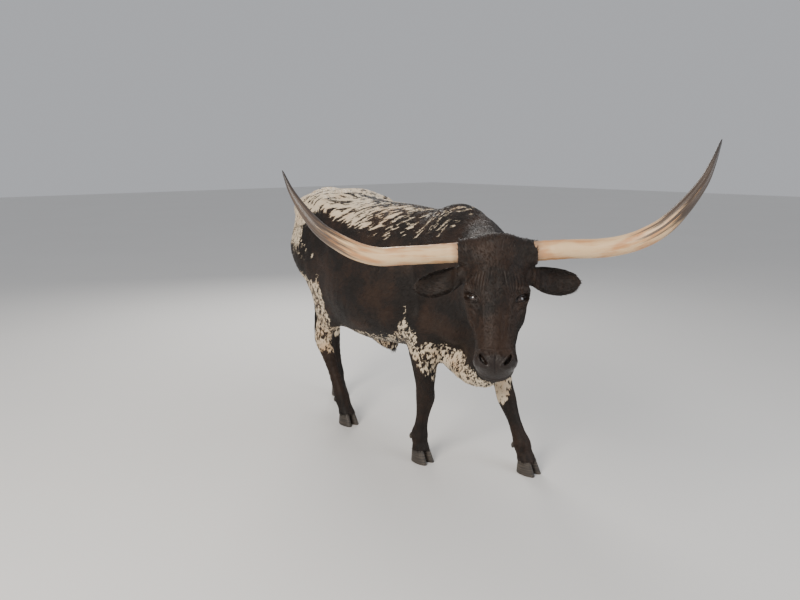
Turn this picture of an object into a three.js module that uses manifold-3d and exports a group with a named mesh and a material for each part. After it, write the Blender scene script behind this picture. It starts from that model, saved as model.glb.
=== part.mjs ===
// A Texas longhorn steer, life size, looking round to its right in mid-stride.
// Lengths are in millimetres. The steer faces -Y, its left side is +X and +Z is up.
// The body is one smooth field built from oval bars and lumps. Each sub-part is the
// field's surface inside that part's own box, trimmed by flat cuts 0.3 mm wide.
import * as THREE from "three";
import { mergeVertices } from "three/addons/utils/BufferGeometryUtils.js";
import Module from "manifold-3d";

const wasm = await Module();
wasm.setup();

// Driving dimensions
const WITHERS_HEIGHT = 1412;
const HIP_HEIGHT = 1492;
const GAP = 0.3;
const HEAD_YAW = -49;
const HEAD_PITCH = -20;
const CROWN = [-655, -749, 1338];
const CROWN_IN_HEAD = [0, 80, -45];
const HORN_ROOT_OUT = 150;
const HORN_RADII = [40, 38, 37, 37, 36.5, 36, 32.5, 26.5, 19.5, 11.5, 3.5];
const EAR_ROOT = [146, 122, -128];
const EAR_LENGTH = 181;
const EAR_DROOP = { left: [50, -36], right: [92, -44] };
const EYE_RADIUS = 20;
const LID_RADIUS = 25;
const EYE_IN_HEAD = [84, 56, -229];
const HOOF_HEIGHT = 72;
const FAR = 130;
const LEFT = 1;
const RIGHT = -1;

const rad = THREE.MathUtils.degToRad;
const clamp = THREE.MathUtils.clamp;
const lerp = THREE.MathUtils.lerp;
const vec = (p) => new THREE.Vector3(...p);

// Field toolkit: every function of (x, y, z) is below zero inside the body.

// Least of two fields, rounded over a width of k where they meet.
function blend(a, b, k) {
  const near = Math.max(k - Math.abs(a - b), 0) / k;
  return Math.min(a, b) - (near * near * k) / 4;
}

// Scaled distance to an oval, from its offsets and its three radii.
function oval(u, v, w, ru, rv, rw) {
  const near = Math.hypot(u / ru, v / rv, w / rw);
  const slope = Math.hypot(u / ru ** 2, v / rv ** 2, w / rw ** 2);
  return slope === 0 ? -Math.min(ru, rv, rw) : (near * (near - 1)) / slope;
}

// Round-ended bar between two oval stations, `side` wide along `across` and `deep` the other way.
function bar(a, b, across) {
  const from = vec(a.at);
  const along = vec(b.at).sub(from);
  const length = along.length();
  along.normalize();
  const down = new THREE.Vector3().crossVectors(along, vec(across)).normalize();
  const out = new THREE.Vector3().crossVectors(down, along);
  const middle = vec(a.at).lerp(vec(b.at), 0.5);
  const reach = length / 2 + Math.max(a.side, a.deep, b.side, b.deep);
  return (x, y, z) => {
    const away = Math.hypot(x - middle.x, y - middle.y, z - middle.z) - reach;
    if (away > FAR) return away;
    const px = x - from.x;
    const py = y - from.y;
    const pz = z - from.z;
    const s = px * along.x + py * along.y + pz * along.z;
    const t = clamp(s / length, 0, 1);
    const ru = lerp(a.side, b.side, t);
    const rv = lerp(a.deep, b.deep, t);
    return oval(
      px * out.x + py * out.y + pz * out.z,
      px * down.x + py * down.y + pz * down.z,
      s - t * length,
      ru,
      rv,
      (ru + rv) / 2,
    );
  };
}

// Chain of bars through a few stations, with `steps` bars in each span of a smooth curve.
function limb(stations, across, steps = 3) {
  const path = new THREE.CatmullRomCurve3(stations.map((s) => vec(s.at)));
  const girth = new THREE.CatmullRomCurve3(
    stations.map((s) => new THREE.Vector3(s.side, s.deep, 0)),
  );
  const count = (stations.length - 1) * steps;
  const fine = [];
  for (let i = 0; i <= count; i++) {
    const size = girth.getPoint(i / count);
    fine.push({ at: path.getPoint(i / count).toArray(), side: size.x, deep: size.y });
  }
  const bars = fine.slice(1).map((s, i) => bar(fine[i], s, across));
  const middle = vec(fine[0].at).lerp(vec(fine[count].at), 0.5);
  const reach = Math.max(...fine.map((s) => middle.distanceTo(vec(s.at)) + s.side + s.deep));
  return (x, y, z) => {
    const away = Math.hypot(x - middle.x, y - middle.y, z - middle.z) - reach;
    if (away > FAR) return away;
    let d = Infinity;
    for (const f of bars) d = d === Infinity ? f(x, y, z) : blend(d, f(x, y, z), 12);
    return d;
  };
}

// Ellipsoid, turned by degrees about X, Y and Z.
function lump(at, radii, turn = [0, 0, 0]) {
  const back = new THREE.Matrix4()
    .makeRotationFromEuler(new THREE.Euler(...turn.map(rad)))
    .setPosition(...at)
    .invert();
  const e = back.elements;
  const [ru, rv, rw] = radii;
  const reach = Math.max(ru, rv, rw);
  return (x, y, z) => {
    const away = Math.hypot(x - at[0], y - at[1], z - at[2]) - reach;
    if (away > FAR) return away;
    return oval(
      e[0] * x + e[4] * y + e[8] * z + e[12],
      e[1] * x + e[5] * y + e[9] * z + e[13],
      e[2] * x + e[6] * y + e[10] * z + e[14],
      ru,
      rv,
      rw,
    );
  };
}

// Field read in the frame of a matrix.
function placed(field, matrix) {
  const e = matrix.clone().invert().elements;
  return (x, y, z) =>
    field(
      e[0] * x + e[4] * y + e[8] * z + e[12],
      e[1] * x + e[5] * y + e[9] * z + e[13],
      e[2] * x + e[6] * y + e[10] * z + e[14],
    );
}

const mirrored = (field) => (x, y, z) => field(Math.abs(x), y, z);

// Joins fields one after another: [field, rounding] pairs.
function joined(first, ...rest) {
  return (x, y, z) => rest.reduce((d, [f, k]) => blend(d, f(x, y, z), k), first(x, y, z));
}

// Trunk

// Cross-sections along the trunk: place, top, floor, half-width and the height of that width
const TRUNK = [
  { y: -190, top: 1210, floor: 760, half: 150, widest: 950 },
  { y: -50, top: 1332, floor: 665, half: 215, widest: 980 },
  { y: 130, top: WITHERS_HEIGHT - 24, floor: 640, half: 265, widest: 990 },
  { y: 380, top: 1424, floor: 622, half: 328, widest: 960 },
  { y: 680, top: 1440, floor: 606, half: 350, widest: 965 },
  { y: 930, top: 1470, floor: 660, half: 302, widest: 1040 },
  { y: 1130, top: HIP_HEIGHT, floor: 860, half: 240, widest: 1190 },
  { y: 1320, top: 1440, floor: 1060, half: 125, widest: 1270 },
];
const TRUNK_CAP = 90;

function trunkField(x, y, z) {
  const last = TRUNK.length - 1;
  const inside = clamp(y, TRUNK[0].y, TRUNK[last].y);
  const i = clamp(TRUNK.findIndex((s) => s.y >= inside) - 1, 0, last - 1);
  const before = TRUNK[Math.max(i - 1, 0)];
  const a = TRUNK[i];
  const b = TRUNK[i + 1];
  const after = TRUNK[Math.min(i + 2, last)];
  const t = (inside - a.y) / (b.y - a.y);
  const read = (key) => hermite(before, a, b, after, key, t);
  const widest = read("widest");
  const tall = z > widest ? read("top") - widest : widest - read("floor");
  const half = read("half");
  const power = z > widest ? 2.15 : 2.3;
  const u = Math.abs(x) / half;
  const v = Math.abs(z - widest) / tall;
  const w = Math.abs(y - inside) / TRUNK_CAP;
  const near = (u ** power + v ** power + w ** power) ** (1 / power);
  const reach = Math.hypot(x, z - widest, y - inside);
  return near === 0 ? -half : (reach * (near - 1)) / near;
}

// Smooth value of `key` between sections a and b, with slopes from their neighbours.
function hermite(before, a, b, after, key, t) {
  const step = b.y - a.y;
  const slopeA = before === a ? (b[key] - a[key]) / step : (b[key] - before[key]) / (b.y - before.y);
  const slopeB = after === b ? (b[key] - a[key]) / step : (after[key] - a[key]) / (after.y - a.y);
  const t2 = t * t;
  const t3 = t2 * t;
  return (
    (2 * t3 - 3 * t2 + 1) * a[key] +
    (t3 - 2 * t2 + t) * step * slopeA +
    (3 * t2 - 2 * t3) * b[key] +
    (t3 - t2) * step * slopeB
  );
}

// Muscles and bones that stand out of the trunk, the same on both sides.
const ACROSS = [1, 0, 0];
const shoulder = mirrored(
  limb(
    [
      { at: [110, 70, 1326], side: 45, deep: 90 },
      { at: [185, 0, 1180], side: 70, deep: 150 },
      { at: [205, -95, 985], side: 72, deep: 125 },
      { at: [195, -60, 850], side: 66, deep: 105 },
    ],
    ACROSS,
  ),
);
const hip = mirrored(lump([204, 985, 1396], [58, 118, 54], [0, 0, 12]));
const rump = mirrored(lump([120, 1120, 1400], [110, 230, 80], [-8, 0, -14]));
const pin = mirrored(lump([112, 1372, 1325], [50, 60, 52]));
const tailHead = lump([0, 1300, 1440], [60, 130, 52], [-14, 0, 0]);
const withers = lump([0, 90, WITHERS_HEIGHT - 90], [80, 240, 62], [4, 0, 0]);
const breast = lump([-10, -120, 960], [205, 150, 230], [8, 0, 0]);
const brisket = limb(
  [
    { at: [-70, -270, 880], side: 100, deep: 110 },
    { at: [-86, -228, 652], side: 96, deep: 108 },
    { at: [-62, -120, 602], side: 92, deep: 90 },
    { at: [-36, 52, 642], side: 96, deep: 76 },
  ],
  ACROSS,
);
const sheath = limb(
  [
    { at: [0, 770, 622], side: 44, deep: 36 },
    { at: [0, 680, 590], side: 40, deep: 36 },
    { at: [0, 610, 570], side: 28, deep: 28 },
  ],
  ACROSS,
);
const flankFold = mirrored(lump([205, 965, 800], [40, 120, 150], [-25, 0, 0]));
const thigh = mirrored(
  limb(
    [
      { at: [150, 1150, 1290], side: 100, deep: 190 },
      { at: [172, 1180, 1120], side: 105, deep: 215 },
    ],
    ACROSS,
  ),
);

const trunk = joined(
  trunkField,
  [withers, 70],
  [shoulder, 85],
  [breast, 90],
  [brisket, 70],
  [hip, 110],
  [rump, 60],
  [tailHead, 60],
  [pin, 60],
  [thigh, 70],
  [flankFold, 80],
  [sheath, 40],
);

// Legs: stations from the body down to the hoof, for each leg as it stands

const foreStations = (side, elbow, knee, fetlock, hoof) => [
  { at: [side * 190, elbow[0], elbow[1] + 60], side: 80, deep: 125 },
  { at: [side * 184, elbow[0] + 4, elbow[1] - 60], side: 70, deep: 96 },
  { at: between(side, 176, elbow, knee, 0.55), side: 57, deep: 68 },
  { at: between(side, 172, elbow, knee, 0.85), side: 47, deep: 49 },
  { at: [side * 170, ...knee], side: 49, deep: 48 },
  { at: between(side, 169, knee, fetlock, 0.25), side: 38, deep: 40 },
  { at: between(side, 168, knee, fetlock, 0.55), side: 31, deep: 34 },
  { at: between(side, 167, knee, fetlock, 0.82), side: 33, deep: 38 },
  { at: [side * 166, ...fetlock], side: 43, deep: 45 },
  { at: between(side, 166, fetlock, hoof, 0.5), side: 40, deep: 38 },
  { at: [side * 166, ...hoof], side: 50, deep: 50 },
];

const hindStations = (side, out, stifle, hock, fetlock, hoof) => [
  { at: [side * (out + 22), stifle[0] + 120, stifle[1] + 190], side: 100, deep: 205 },
  { at: [side * (out + 28), ...stifle], side: 88, deep: 150 },
  { at: between(side, out + 14, stifle, hock, 0.4), side: 66, deep: 100 },
  { at: between(side, out + 5, stifle, hock, 0.75), side: 47, deep: 64 },
  { at: [side * out, ...hock], side: 46, deep: 66 },
  { at: between(side, out, hock, fetlock, 0.22), side: 40, deep: 50 },
  { at: between(side, out, hock, fetlock, 0.55), side: 33, deep: 38 },
  { at: between(side, out, hock, fetlock, 0.85), side: 35, deep: 40 },
  { at: [side * out, ...fetlock], side: 43, deep: 46 },
  { at: between(side, out, fetlock, hoof, 0.5), side: 40, deep: 38 },
  { at: [side * out, ...hoof], side: 50, deep: 50 },
];

// Point between two joints given as [y, z], at a distance `out` from the middle plane.
function between(side, out, from, to, t) {
  return [side * out, lerp(from[0], to[0], t), lerp(from[1], to[1], t)];
}

const LEGS = {
  fore_left: foreStations(LEFT, [-10, 750], [-158, 388], [-282, 150], [-318, 62]),
  fore_right: foreStations(RIGHT, [142, 750], [138, 388], [188, 150], [176, 62]),
  hind_left: hindStations(LEFT, 146, [1085, 850], [1425, 530], [1380, 160], [1362, 62]),
  hind_right: hindStations(RIGHT, 140, [984, 850], [1140, 520], [945, 155], [895, 62]),
};
// Point of each hock and the tendon above it, as [y, z]
const HOCK_TENDONS = {
  hind_left: { side: LEFT, out: 146, point: [1466, 560], top: [1300, 764] },
  hind_right: { side: RIGHT, out: 140, point: [1170, 550], top: [1152, 800] },
};
const legFields = Object.fromEntries(
  Object.entries(LEGS).map(([name, stations]) => [name, limb(stations, ACROSS)]),
);
for (const [name, { side, out, point, top }] of Object.entries(HOCK_TENDONS)) {
  const tendon = limb(
    [
      { at: [side * out, ...point], side: 21, deep: 24 },
      { at: between(side, out + 4, point, top, 0.5), side: 20, deep: 26 },
      { at: [side * (out + 10), ...top], side: 40, deep: 44 },
    ],
    ACROSS,
    2,
  );
  legFields[name] = joined(legFields[name], [tendon, 30]);
}

// Neck, bending to the steer's right from the shoulders to the back of the head

const NECK_ACROSS = [0.72, -0.69, 0];
const neck = joined(
  limb(
    [
      { at: [0, 60, 1120], side: 200, deep: 300 },
      { at: [-75, -170, 1104], side: 180, deep: 262 },
      { at: [-250, -370, 1120], side: 145, deep: 210 },
      { at: [-420, -530, 1148], side: 118, deep: 166 },
      { at: [-540, -640, 1186], side: 100, deep: 130 },
    ],
    NECK_ACROSS,
  ),
  [
    // Crest of the neck
    limb(
      [
        { at: [0, 60, 1380], side: 70, deep: 60 },
        { at: [-110, -190, 1308], side: 68, deep: 66 },
        { at: [-300, -410, 1254], side: 64, deep: 60 },
        { at: [-520, -620, 1250], side: 62, deep: 50 },
      ],
      NECK_ACROSS,
    ),
    60,
  ],
  [
    // Dewlap
    limb(
      [
        { at: [-470, -600, 1010], side: 44, deep: 64 },
        { at: [-330, -480, 900], side: 46, deep: 82 },
        { at: [-180, -350, 800], side: 58, deep: 92 },
        { at: [-60, -220, 720], side: 74, deep: 92 },
      ],
      NECK_ACROSS,
    ),
    90,
  ],
);

// Head, in its own frame: the face looks along -Y, the muzzle points to -Z, the poll is at the origin

const turnOf = (pitch) =>
  new THREE.Matrix4().makeRotationFromEuler(
    new THREE.Euler(rad(pitch), 0, rad(HEAD_YAW), "ZXY"),
  );
const headTurn = turnOf(HEAD_PITCH);
const headFrame = headTurn
  .clone()
  .setPosition(vec(CROWN).sub(vec(CROWN_IN_HEAD).applyMatrix4(headTurn)));
const crownFrame = turnOf(0).setPosition(...CROWN);

const skull = limb(
  [
    { at: [0, 92, -62], side: 94, deep: 78 },
    { at: [0, 92, -130], side: 108, deep: 86 },
    { at: [0, 92, -215], side: 104, deep: 88 },
    { at: [0, 82, -300], side: 90, deep: 76 },
    { at: [0, 68, -390], side: 73, deep: 62 },
    { at: [0, 60, -450], side: 70, deep: 56 },
  ],
  ACROSS,
);
const muzzle = joined(
  lump([0, 52, -466], [81, 52, 48]),
  [mirrored(lump([40, 26, -455], [26, 24, 34], [0, 0, 20])), 26],
  [lump([0, 84, -502], [62, 44, 28]), 22],
);
const jaw = limb(
  [
    { at: [0, 190, -175], side: 66, deep: 56 },
    { at: [0, 180, -240], side: 64, deep: 54 },
    { at: [0, 140, -350], side: 58, deep: 42 },
    { at: [0, 108, -440], side: 50, deep: 32 },
    { at: [0, 92, -500], side: 44, deep: 26 },
  ],
  ACROSS,
);
const cheek = mirrored(lump([68, 150, -240], [40, 70, 105], [-14, 0, 0]));
const orbit = mirrored(lump([95, 56, -204], [31, 34, 42], [0, 0, 14]));
const cheekbone = mirrored(lump([86, 84, -262], [24, 34, 60], [-8, 6, 0]));
const hornSleeve = mirrored(
  limb(
    [
      { at: [50, 86, -44], side: 58, deep: 52 },
      { at: [160, 80, -44], side: 46, deep: 46 },
    ],
    [0, 0, 1],
    2,
  ),
);
const earStub = mirrored(
  limb(
    [
      { at: [90, 120, -124], side: 42, deep: 32 },
      { at: [160, 122, -130], side: 36, deep: 26 },
    ],
    [0, 0, 1],
    1,
  ),
);
const poll = lump([0, 84, -8], [70, 62, 32]);
const noseBridge = limb(
  [
    { at: [0, 34, -190], side: 60, deep: 26 },
    { at: [0, 30, -320], side: 44, deep: 26 },
    { at: [0, 28, -410], side: 42, deep: 26 },
  ],
  ACROSS,
  2,
);

const head = joined(
  skull,
  [jaw, 36],
  [cheek, 40],
  [cheekbone, 26],
  [orbit, 30],
  [noseBridge, 30],
  [muzzle, 30],
  [poll, 34],
  [hornSleeve, 34],
  [earStub, 24],
);

const HEAD_CENTRE = [0, 90, -230];
const HEAD_REACH = 340;
const headNear = (x, y, z) => {
  const away = Math.hypot(...[x, y, z].map((c, i) => c - HEAD_CENTRE[i])) - HEAD_REACH;
  return away > FAR ? away : head(x, y, z);
};
const headInBody = placed(headNear, headFrame);
const neckInHead = placed(neck, headFrame.clone().invert());

// Surface of a field

// Corners of a cell are numbered 0 to 7 by bits for x, y and z, and an edge by its two corners.
const BITS = [1, 2, 4];
const edgeOf = (a, b) => Math.min(a, b) * 8 + Math.max(a, b);
const SIDES = BITS.flatMap((bit) => {
  const [p, q] = BITS.filter((b) => b !== bit);
  return [0, bit].map((base) => [base, base | p, base | p | q, base | q]);
});

// Edges of a cell that the surface crosses, in one group for each sheet of it.
function sheetsOf(isIn) {
  const groups = [];
  const link = (one, other) => {
    const found = groups.filter((g) => g.has(one) || g.has(other));
    const merged = new Set([one, other, ...found.flatMap((g) => [...g])]);
    found.forEach((g) => groups.splice(groups.indexOf(g), 1));
    groups.push(merged);
  };
  for (const side of SIDES) {
    const edges = side.map((c, n) => edgeOf(c, side[(n + 1) % 4]));
    const crossed = edges.filter((_, n) => isIn[side[n]] !== isIn[side[(n + 1) % 4]]);
    if (crossed.length === 2) link(...crossed);
    if (crossed.length === 4)
      side.forEach((c, n) => isIn[c] && link(edges[n], edges[(n + 3) % 4]));
  }
  return groups;
}

// Closed surface of a field inside a box: one vertex in each cell that the surface crosses.
function surfaceOf(field, low, high, cell) {
  const count = low.map((l, i) => Math.ceil((high[i] - l) / cell[i]) + 1);
  const [nx, ny, nz] = count;
  const point = (i, j, k) => [low[0] + i * cell[0], low[1] + j * cell[1], low[2] + k * cell[2]];
  const index = (i, j, k) => i + nx * (j + ny * k);
  const value = new Float32Array(nx * ny * nz);
  for (let k = 0; k < nz; k++)
    for (let j = 0; j < ny; j++)
      for (let i = 0; i < nx; i++) {
        const border = !i || !j || !k || i === nx - 1 || j === ny - 1 || k === nz - 1;
        const d = field(...point(i, j, k));
        value[index(i, j, k)] = border ? Math.max(d, 1) : d || 1e-6;
      }
  const vertexOf = new Map();
  const vertices = [];
  for (let k = 0; k < nz - 1; k++)
    for (let j = 0; j < ny - 1; j++)
      for (let i = 0; i < nx - 1; i++) {
        const corner = (c) => [i + (c & 1), j + ((c >> 1) & 1), k + ((c >> 2) & 1)];
        const at = Array.from({ length: 8 }, (_, c) => value[index(...corner(c))]);
        const isIn = at.map((v) => v < 0);
        if (isIn.every((v) => v === isIn[0])) continue;
        const inner = i && j && k && i < nx - 2 && j < ny - 2 && k < nz - 2;
        for (const sheet of sheetsOf(isIn)) {
          const sum = [0, 0, 0];
          for (const edge of sheet) {
            const [ca, cb] = [edge >> 3, edge & 7];
            const t = at[ca] / (at[ca] - at[cb]);
            const pa = point(...corner(ca));
            const pb = point(...corner(cb));
            sum.forEach((_, n) => (sum[n] += lerp(pa[n], pb[n], t) / sheet.size));
            vertexOf.set(index(i, j, k) * 64 + edge, vertices.length);
          }
          vertices.push(inner ? settled(field, sum, Math.min(...cell) * 0.5) : sum);
        }
      }
  const faces = [];
  const quad = (a, b, c, d, flip) => {
    const short = vec(vertices[a]).distanceTo(vec(vertices[c]));
    const other = vec(vertices[b]).distanceTo(vec(vertices[d]));
    const two = short < other ? [[a, b, c], [a, c, d]] : [[b, c, d], [b, d, a]];
    for (const t of two) faces.push(...(flip ? t.reverse() : t));
  };
  const ROUND = [[0, 0], [1, 0], [1, 1], [0, 1]];
  for (let k = 0; k < nz - 1; k++)
    for (let j = 0; j < ny - 1; j++)
      for (let i = 0; i < nx - 1; i++) {
        const here = [i, j, k];
        const first = value[index(i, j, k)] < 0;
        for (let axis = 0; axis < 3; axis++) {
          const next = here.map((c, n) => c + (n === axis));
          if (first === value[index(...next)] < 0) continue;
          const [u, v] = [(axis + 1) % 3, (axis + 2) % 3];
          const round = ROUND.map(([du, dv]) => {
            const back = here.map((c, n) => c - (n === u ? du : 0) - (n === v ? dv : 0));
            const low = (du << u) | (dv << v);
            return vertexOf.get(index(...back) * 64 + edgeOf(low, low | (1 << axis)));
          });
          quad(...round, first);
        }
      }
  return solidFrom(vertices.flat(), faces);
}

// Moves a point onto the field's surface, no further than `most` a step.
function settled(field, point, most) {
  const probe = 1.5;
  let p = point;
  for (let n = 0; n < 3; n++) {
    const d = field(...p);
    const slope = [0, 1, 2].map((axis) => {
      const high = [...p];
      const low = [...p];
      high[axis] += probe;
      low[axis] -= probe;
      return (field(...high) - field(...low)) / (2 * probe);
    });
    const steep = Math.max(slope.reduce((s, g) => s + g * g, 0), 0.05);
    const step = clamp(d / steep, -most, most);
    p = p.map((c, axis) => c - step * slope[axis]);
  }
  return p;
}

// Closed solids

const volumeOf = (at, triangles) => {
  let six = 0;
  for (let t = 0; t < triangles.length; t += 3) {
    const [a, b, c] = [0, 1, 2].map((n) => new THREE.Vector3().fromArray(at, 3 * triangles[t + n]));
    six += a.dot(b.cross(c));
  }
  return six / 6;
};

// Solid of a closed mesh, with its faces turned outwards.
function solidFrom(positions, triangles) {
  const triVerts = Uint32Array.from(triangles);
  if (volumeOf(positions, triVerts) < 0) triVerts.reverse();
  const vertProperties = Float32Array.from(positions);
  return new wasm.Manifold(new wasm.Mesh({ numProp: 3, vertProperties, triVerts }));
}

function solidOf(geometry) {
  geometry.deleteAttribute("normal");
  geometry.deleteAttribute("uv");
  const merged = mergeVertices(geometry, 1e-3);
  return solidFrom(merged.attributes.position.array, merged.index.array);
}

// Half of space on the side that a plane's normal points to, moved along it by `shift`.
function halfSpace([at, normal], shift) {
  const size = 6000;
  const turn = new THREE.Quaternion().setFromUnitVectors(
    new THREE.Vector3(0, 0, 1),
    vec(normal).normalize(),
  );
  const box = new THREE.BoxGeometry(size, size, size).translate(0, 0, size / 2 + shift);
  return solidOf(box.applyQuaternion(turn).translate(...at));
}

const spaceWithin = (planes, shift) =>
  planes.map((p) => halfSpace(p, shift)).reduce((a, b) => a.intersect(b));
const trimmed = (solid, planes) => solid.intersect(spaceWithin(planes, GAP / 2));
const without = (solid, planes) => solid.subtract(spaceWithin(planes, -GAP / 2));
const reversed = ([at, normal]) => [at, normal.map((n) => -n)];

function largest(solid) {
  const pieces = solid.decompose().map((piece) => piece.getMesh());
  const volumes = pieces.map((m) => volumeOf(m.vertProperties, m.triVerts));
  return pieces[volumes.indexOf(Math.max(...volumes))];
}

// Skin over rings of points, closed by a fan at each end.
function loft(rings) {
  const count = rings[0].length;
  const points = rings.flat();
  const triangles = [];
  for (let r = 0; r < rings.length - 1; r++)
    for (let n = 0; n < count; n++) {
      const a = r * count + n;
      const b = r * count + ((n + 1) % count);
      triangles.push(a, b, b + count, a, b + count, a + count);
    }
  for (const [first, turn] of [[0, 1], [points.length - count, -1]]) {
    const middle = points.length;
    const sum = new THREE.Vector3();
    for (let n = 0; n < count; n++) sum.add(points[first + n]);
    points.push(sum.divideScalar(count));
    for (let n = 0; n < count; n++) {
      const next = first + ((n + 1) % count);
      triangles.push(...(turn > 0 ? [middle, next, first + n] : [middle, first + n, next]));
    }
  }
  return solidFrom(points.flatMap((p) => p.toArray()), triangles);
}

// Value of evenly spaced numbers at a fraction t of the way along them.
function along(numbers, t) {
  const place = t * (numbers.length - 1);
  const i = Math.min(Math.floor(place), numbers.length - 2);
  return lerp(numbers[i], numbers[i + 1], place - i);
}

// Round tube on a smooth path, with its radii evenly spaced along it.
function tube(points, radii, rings, sides) {
  const path = new THREE.CatmullRomCurve3(points.map(vec));
  const frames = path.computeFrenetFrames(rings);
  return loft(
    Array.from({ length: rings + 1 }, (_, r) =>
      Array.from({ length: sides }, (_, n) => {
        const turn = (2 * Math.PI * n) / sides;
        const radius = along(radii, r / rings);
        return path
          .getPointAt(r / rings)
          .addScaledVector(frames.normals[r], radius * Math.cos(turn))
          .addScaledVector(frames.binormals[r], radius * Math.sin(turn));
      }),
    ),
  );
}

// Repeatable random numbers from 0 to 1.
function randomFrom(seed) {
  let state = seed;
  return () => {
    state = (state * 16807) % 2147483647;
    return state / 2147483647;
  };
}

// Flat tapered lock of hair on a bent path, `broad` wide along `side`.
const LOCK_TAPER = [0.75, 1, 0.85, 0.5, 0.1];
const LOCK_SECTION = [[0.5, 0], [0, 0.18], [-0.5, 0], [0, -0.18]];
function lock(points, side, broad) {
  const path = new THREE.CatmullRomCurve3(points);
  return loft(
    LOCK_TAPER.map((taper, r) => {
      const t = r / (LOCK_TAPER.length - 1);
      const onward = path.getTangent(t);
      const across = side.clone().addScaledVector(onward, -side.dot(onward)).normalize();
      const out = new THREE.Vector3().crossVectors(onward, across);
      return LOCK_SECTION.map(([a, o]) =>
        path
          .getPoint(t)
          .addScaledVector(across, a * broad * taper)
          .addScaledVector(out, o * broad * taper),
      );
    }),
  );
}

// Locks that hang along `down`, rooted inside a core path and spread round it by the golden angle.
function locksRound(core, down, { count, seed, from, to, length, splay, broad }) {
  const path = new THREE.CatmullRomCurve3(core.map(vec));
  const random = randomFrom(seed);
  const golden = Math.PI * (3 - Math.sqrt(5));
  return Array.from({ length: count }, (_, n) => {
    const turn = n * golden + 0.5 * random();
    const outward = new THREE.Vector3(Math.cos(turn), Math.sin(turn), 0);
    const side = new THREE.Vector3(-Math.sin(turn), Math.cos(turn), 0);
    const drop = vec(down).multiplyScalar(lerp(...length, random()));
    const stray = (random() - 0.5) * splay;
    const start = path.getPointAt(lerp(from, to, n / (count - 1)));
    const root = start.addScaledVector(outward, splay * 0.25);
    const middle = root.clone().addScaledVector(drop, 0.4).addScaledVector(outward, splay * 0.8);
    const tip = root.clone().add(drop).addScaledVector(outward, splay * random() * 0.8);
    tip.addScaledVector(side, stray);
    return lock([root, middle, tip], side, broad * lerp(0.8, 1.1, random()));
  });
}

const ball = (at, radii, across, up) =>
  solidOf(new THREE.SphereGeometry(1, across, up).scale(...radii).translate(...at));

// Distance from a point inside a field to its surface, in a direction.
function reachOf(field, from, direction) {
  let [near, far] = [0, 300];
  for (let n = 0; n < 16; n++) {
    const middle = (near + far) / 2;
    const p = from.map((c, i) => c + direction[i] * middle);
    if (field(...p) < 0) near = middle;
    else far = middle;
  }
  return near;
}

// Parts

// Horn paths from their roots: how far out, forward (-) and up, each as it grew
const HORN_PATHS = {
  left: [
    [-14, 0, 7],
    [120, -14, 19],
    [228, -30, 26],
    [297, -42, 39],
    [369, -55, 66],
    [439, -68, 112],
    [502, -72, 182],
    [565, -62, 272],
    [595, -48, 338],
    [626, -24, 421],
  ],
  right: [
    [-14, 0, -2],
    [108, -14, -10],
    [224, -30, -16],
    [300, -42, -19],
    [376, -55, -2],
    [451, -68, 35],
    [527, -72, 87],
    [595, -62, 162],
    [644, -48, 233],
    [683, -24, 309],
  ],
};

const LOOKS = {
  coat: { color: 0x2a1e18, roughness: 0.72, metalness: 0 },
  speckled: { color: 0x9c8672, roughness: 0.75, metalness: 0 },
  horn: { color: 0xd9b98a, roughness: 0.42, metalness: 0 },
  hoof: { color: 0x2b2622, roughness: 0.5, metalness: 0 },
  eye: { color: 0x120d0a, roughness: 0.08, metalness: 0 },
  hair: { color: 0x1f1713, roughness: 0.7, metalness: 0 },
};

const root = new THREE.Group();
const headGroup = new THREE.Group();
headGroup.applyMatrix4(headFrame);
const crownGroup = new THREE.Group();
crownGroup.applyMatrix4(crownFrame);
root.add(headGroup, crownGroup);

function addPart(name, solid, look, group = root) {
  const { vertProperties, triVerts } = largest(solid);
  const geometry = new THREE.BufferGeometry();
  geometry.setAttribute("position", new THREE.BufferAttribute(vertProperties, 3));
  geometry.setIndex(new THREE.BufferAttribute(triVerts, 1));
  geometry.computeVertexNormals();
  const mesh = new THREE.Mesh(geometry, new THREE.MeshStandardMaterial(LOOKS[look]));
  mesh.name = name;
  group.add(mesh);
}

// Cuts between the parts: a point and a normal, which points to the part named
const NECK_CUT = [[-150, -260, 900], [-0.5, -0.85, 0.17]];
const HEAD_CUT = [[0, 170, 0], [0, -0.917, -0.4]];
const JAW_CUT = [[0, 118, -400], [0, 0.94, -0.34]];
const LEG_CUTS = {
  fore_left: [
    [[0, 0, 735], [0, 0, -1]],
    [[104, 0, 0], [1, 0, 0]],
    [[0, 120, 0], [0, -1, 0]],
  ],
  fore_right: [
    [[0, 0, 735], [0, 0, -1]],
    [[-110, 0, 0], [-1, 0, 0]],
    [[0, 262, 0], [0, -1, 0]],
    [[0, -4, 0], [0, 1, 0]],
  ],
  hind_left: [
    [[0, 1080, 760], [0, 0.51, -0.86]],
    [[60, 1050, 0], [0.957, 0.287, 0]],
    [[0, 0, 0], [1, 0, 0]],
  ],
  hind_right: [
    [[0, 880, 640], [0, 0.677, -0.736]],
    [[-60, 900, 0], [-0.972, 0.233, 0]],
    [[0, 0, 0], [-1, 0, 0]],
  ],
};
const headCutInBody = [
  vec(HEAD_CUT[0]).applyMatrix4(headFrame).toArray(),
  vec(HEAD_CUT[1]).applyMatrix4(headTurn).toArray(),
];

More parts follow.
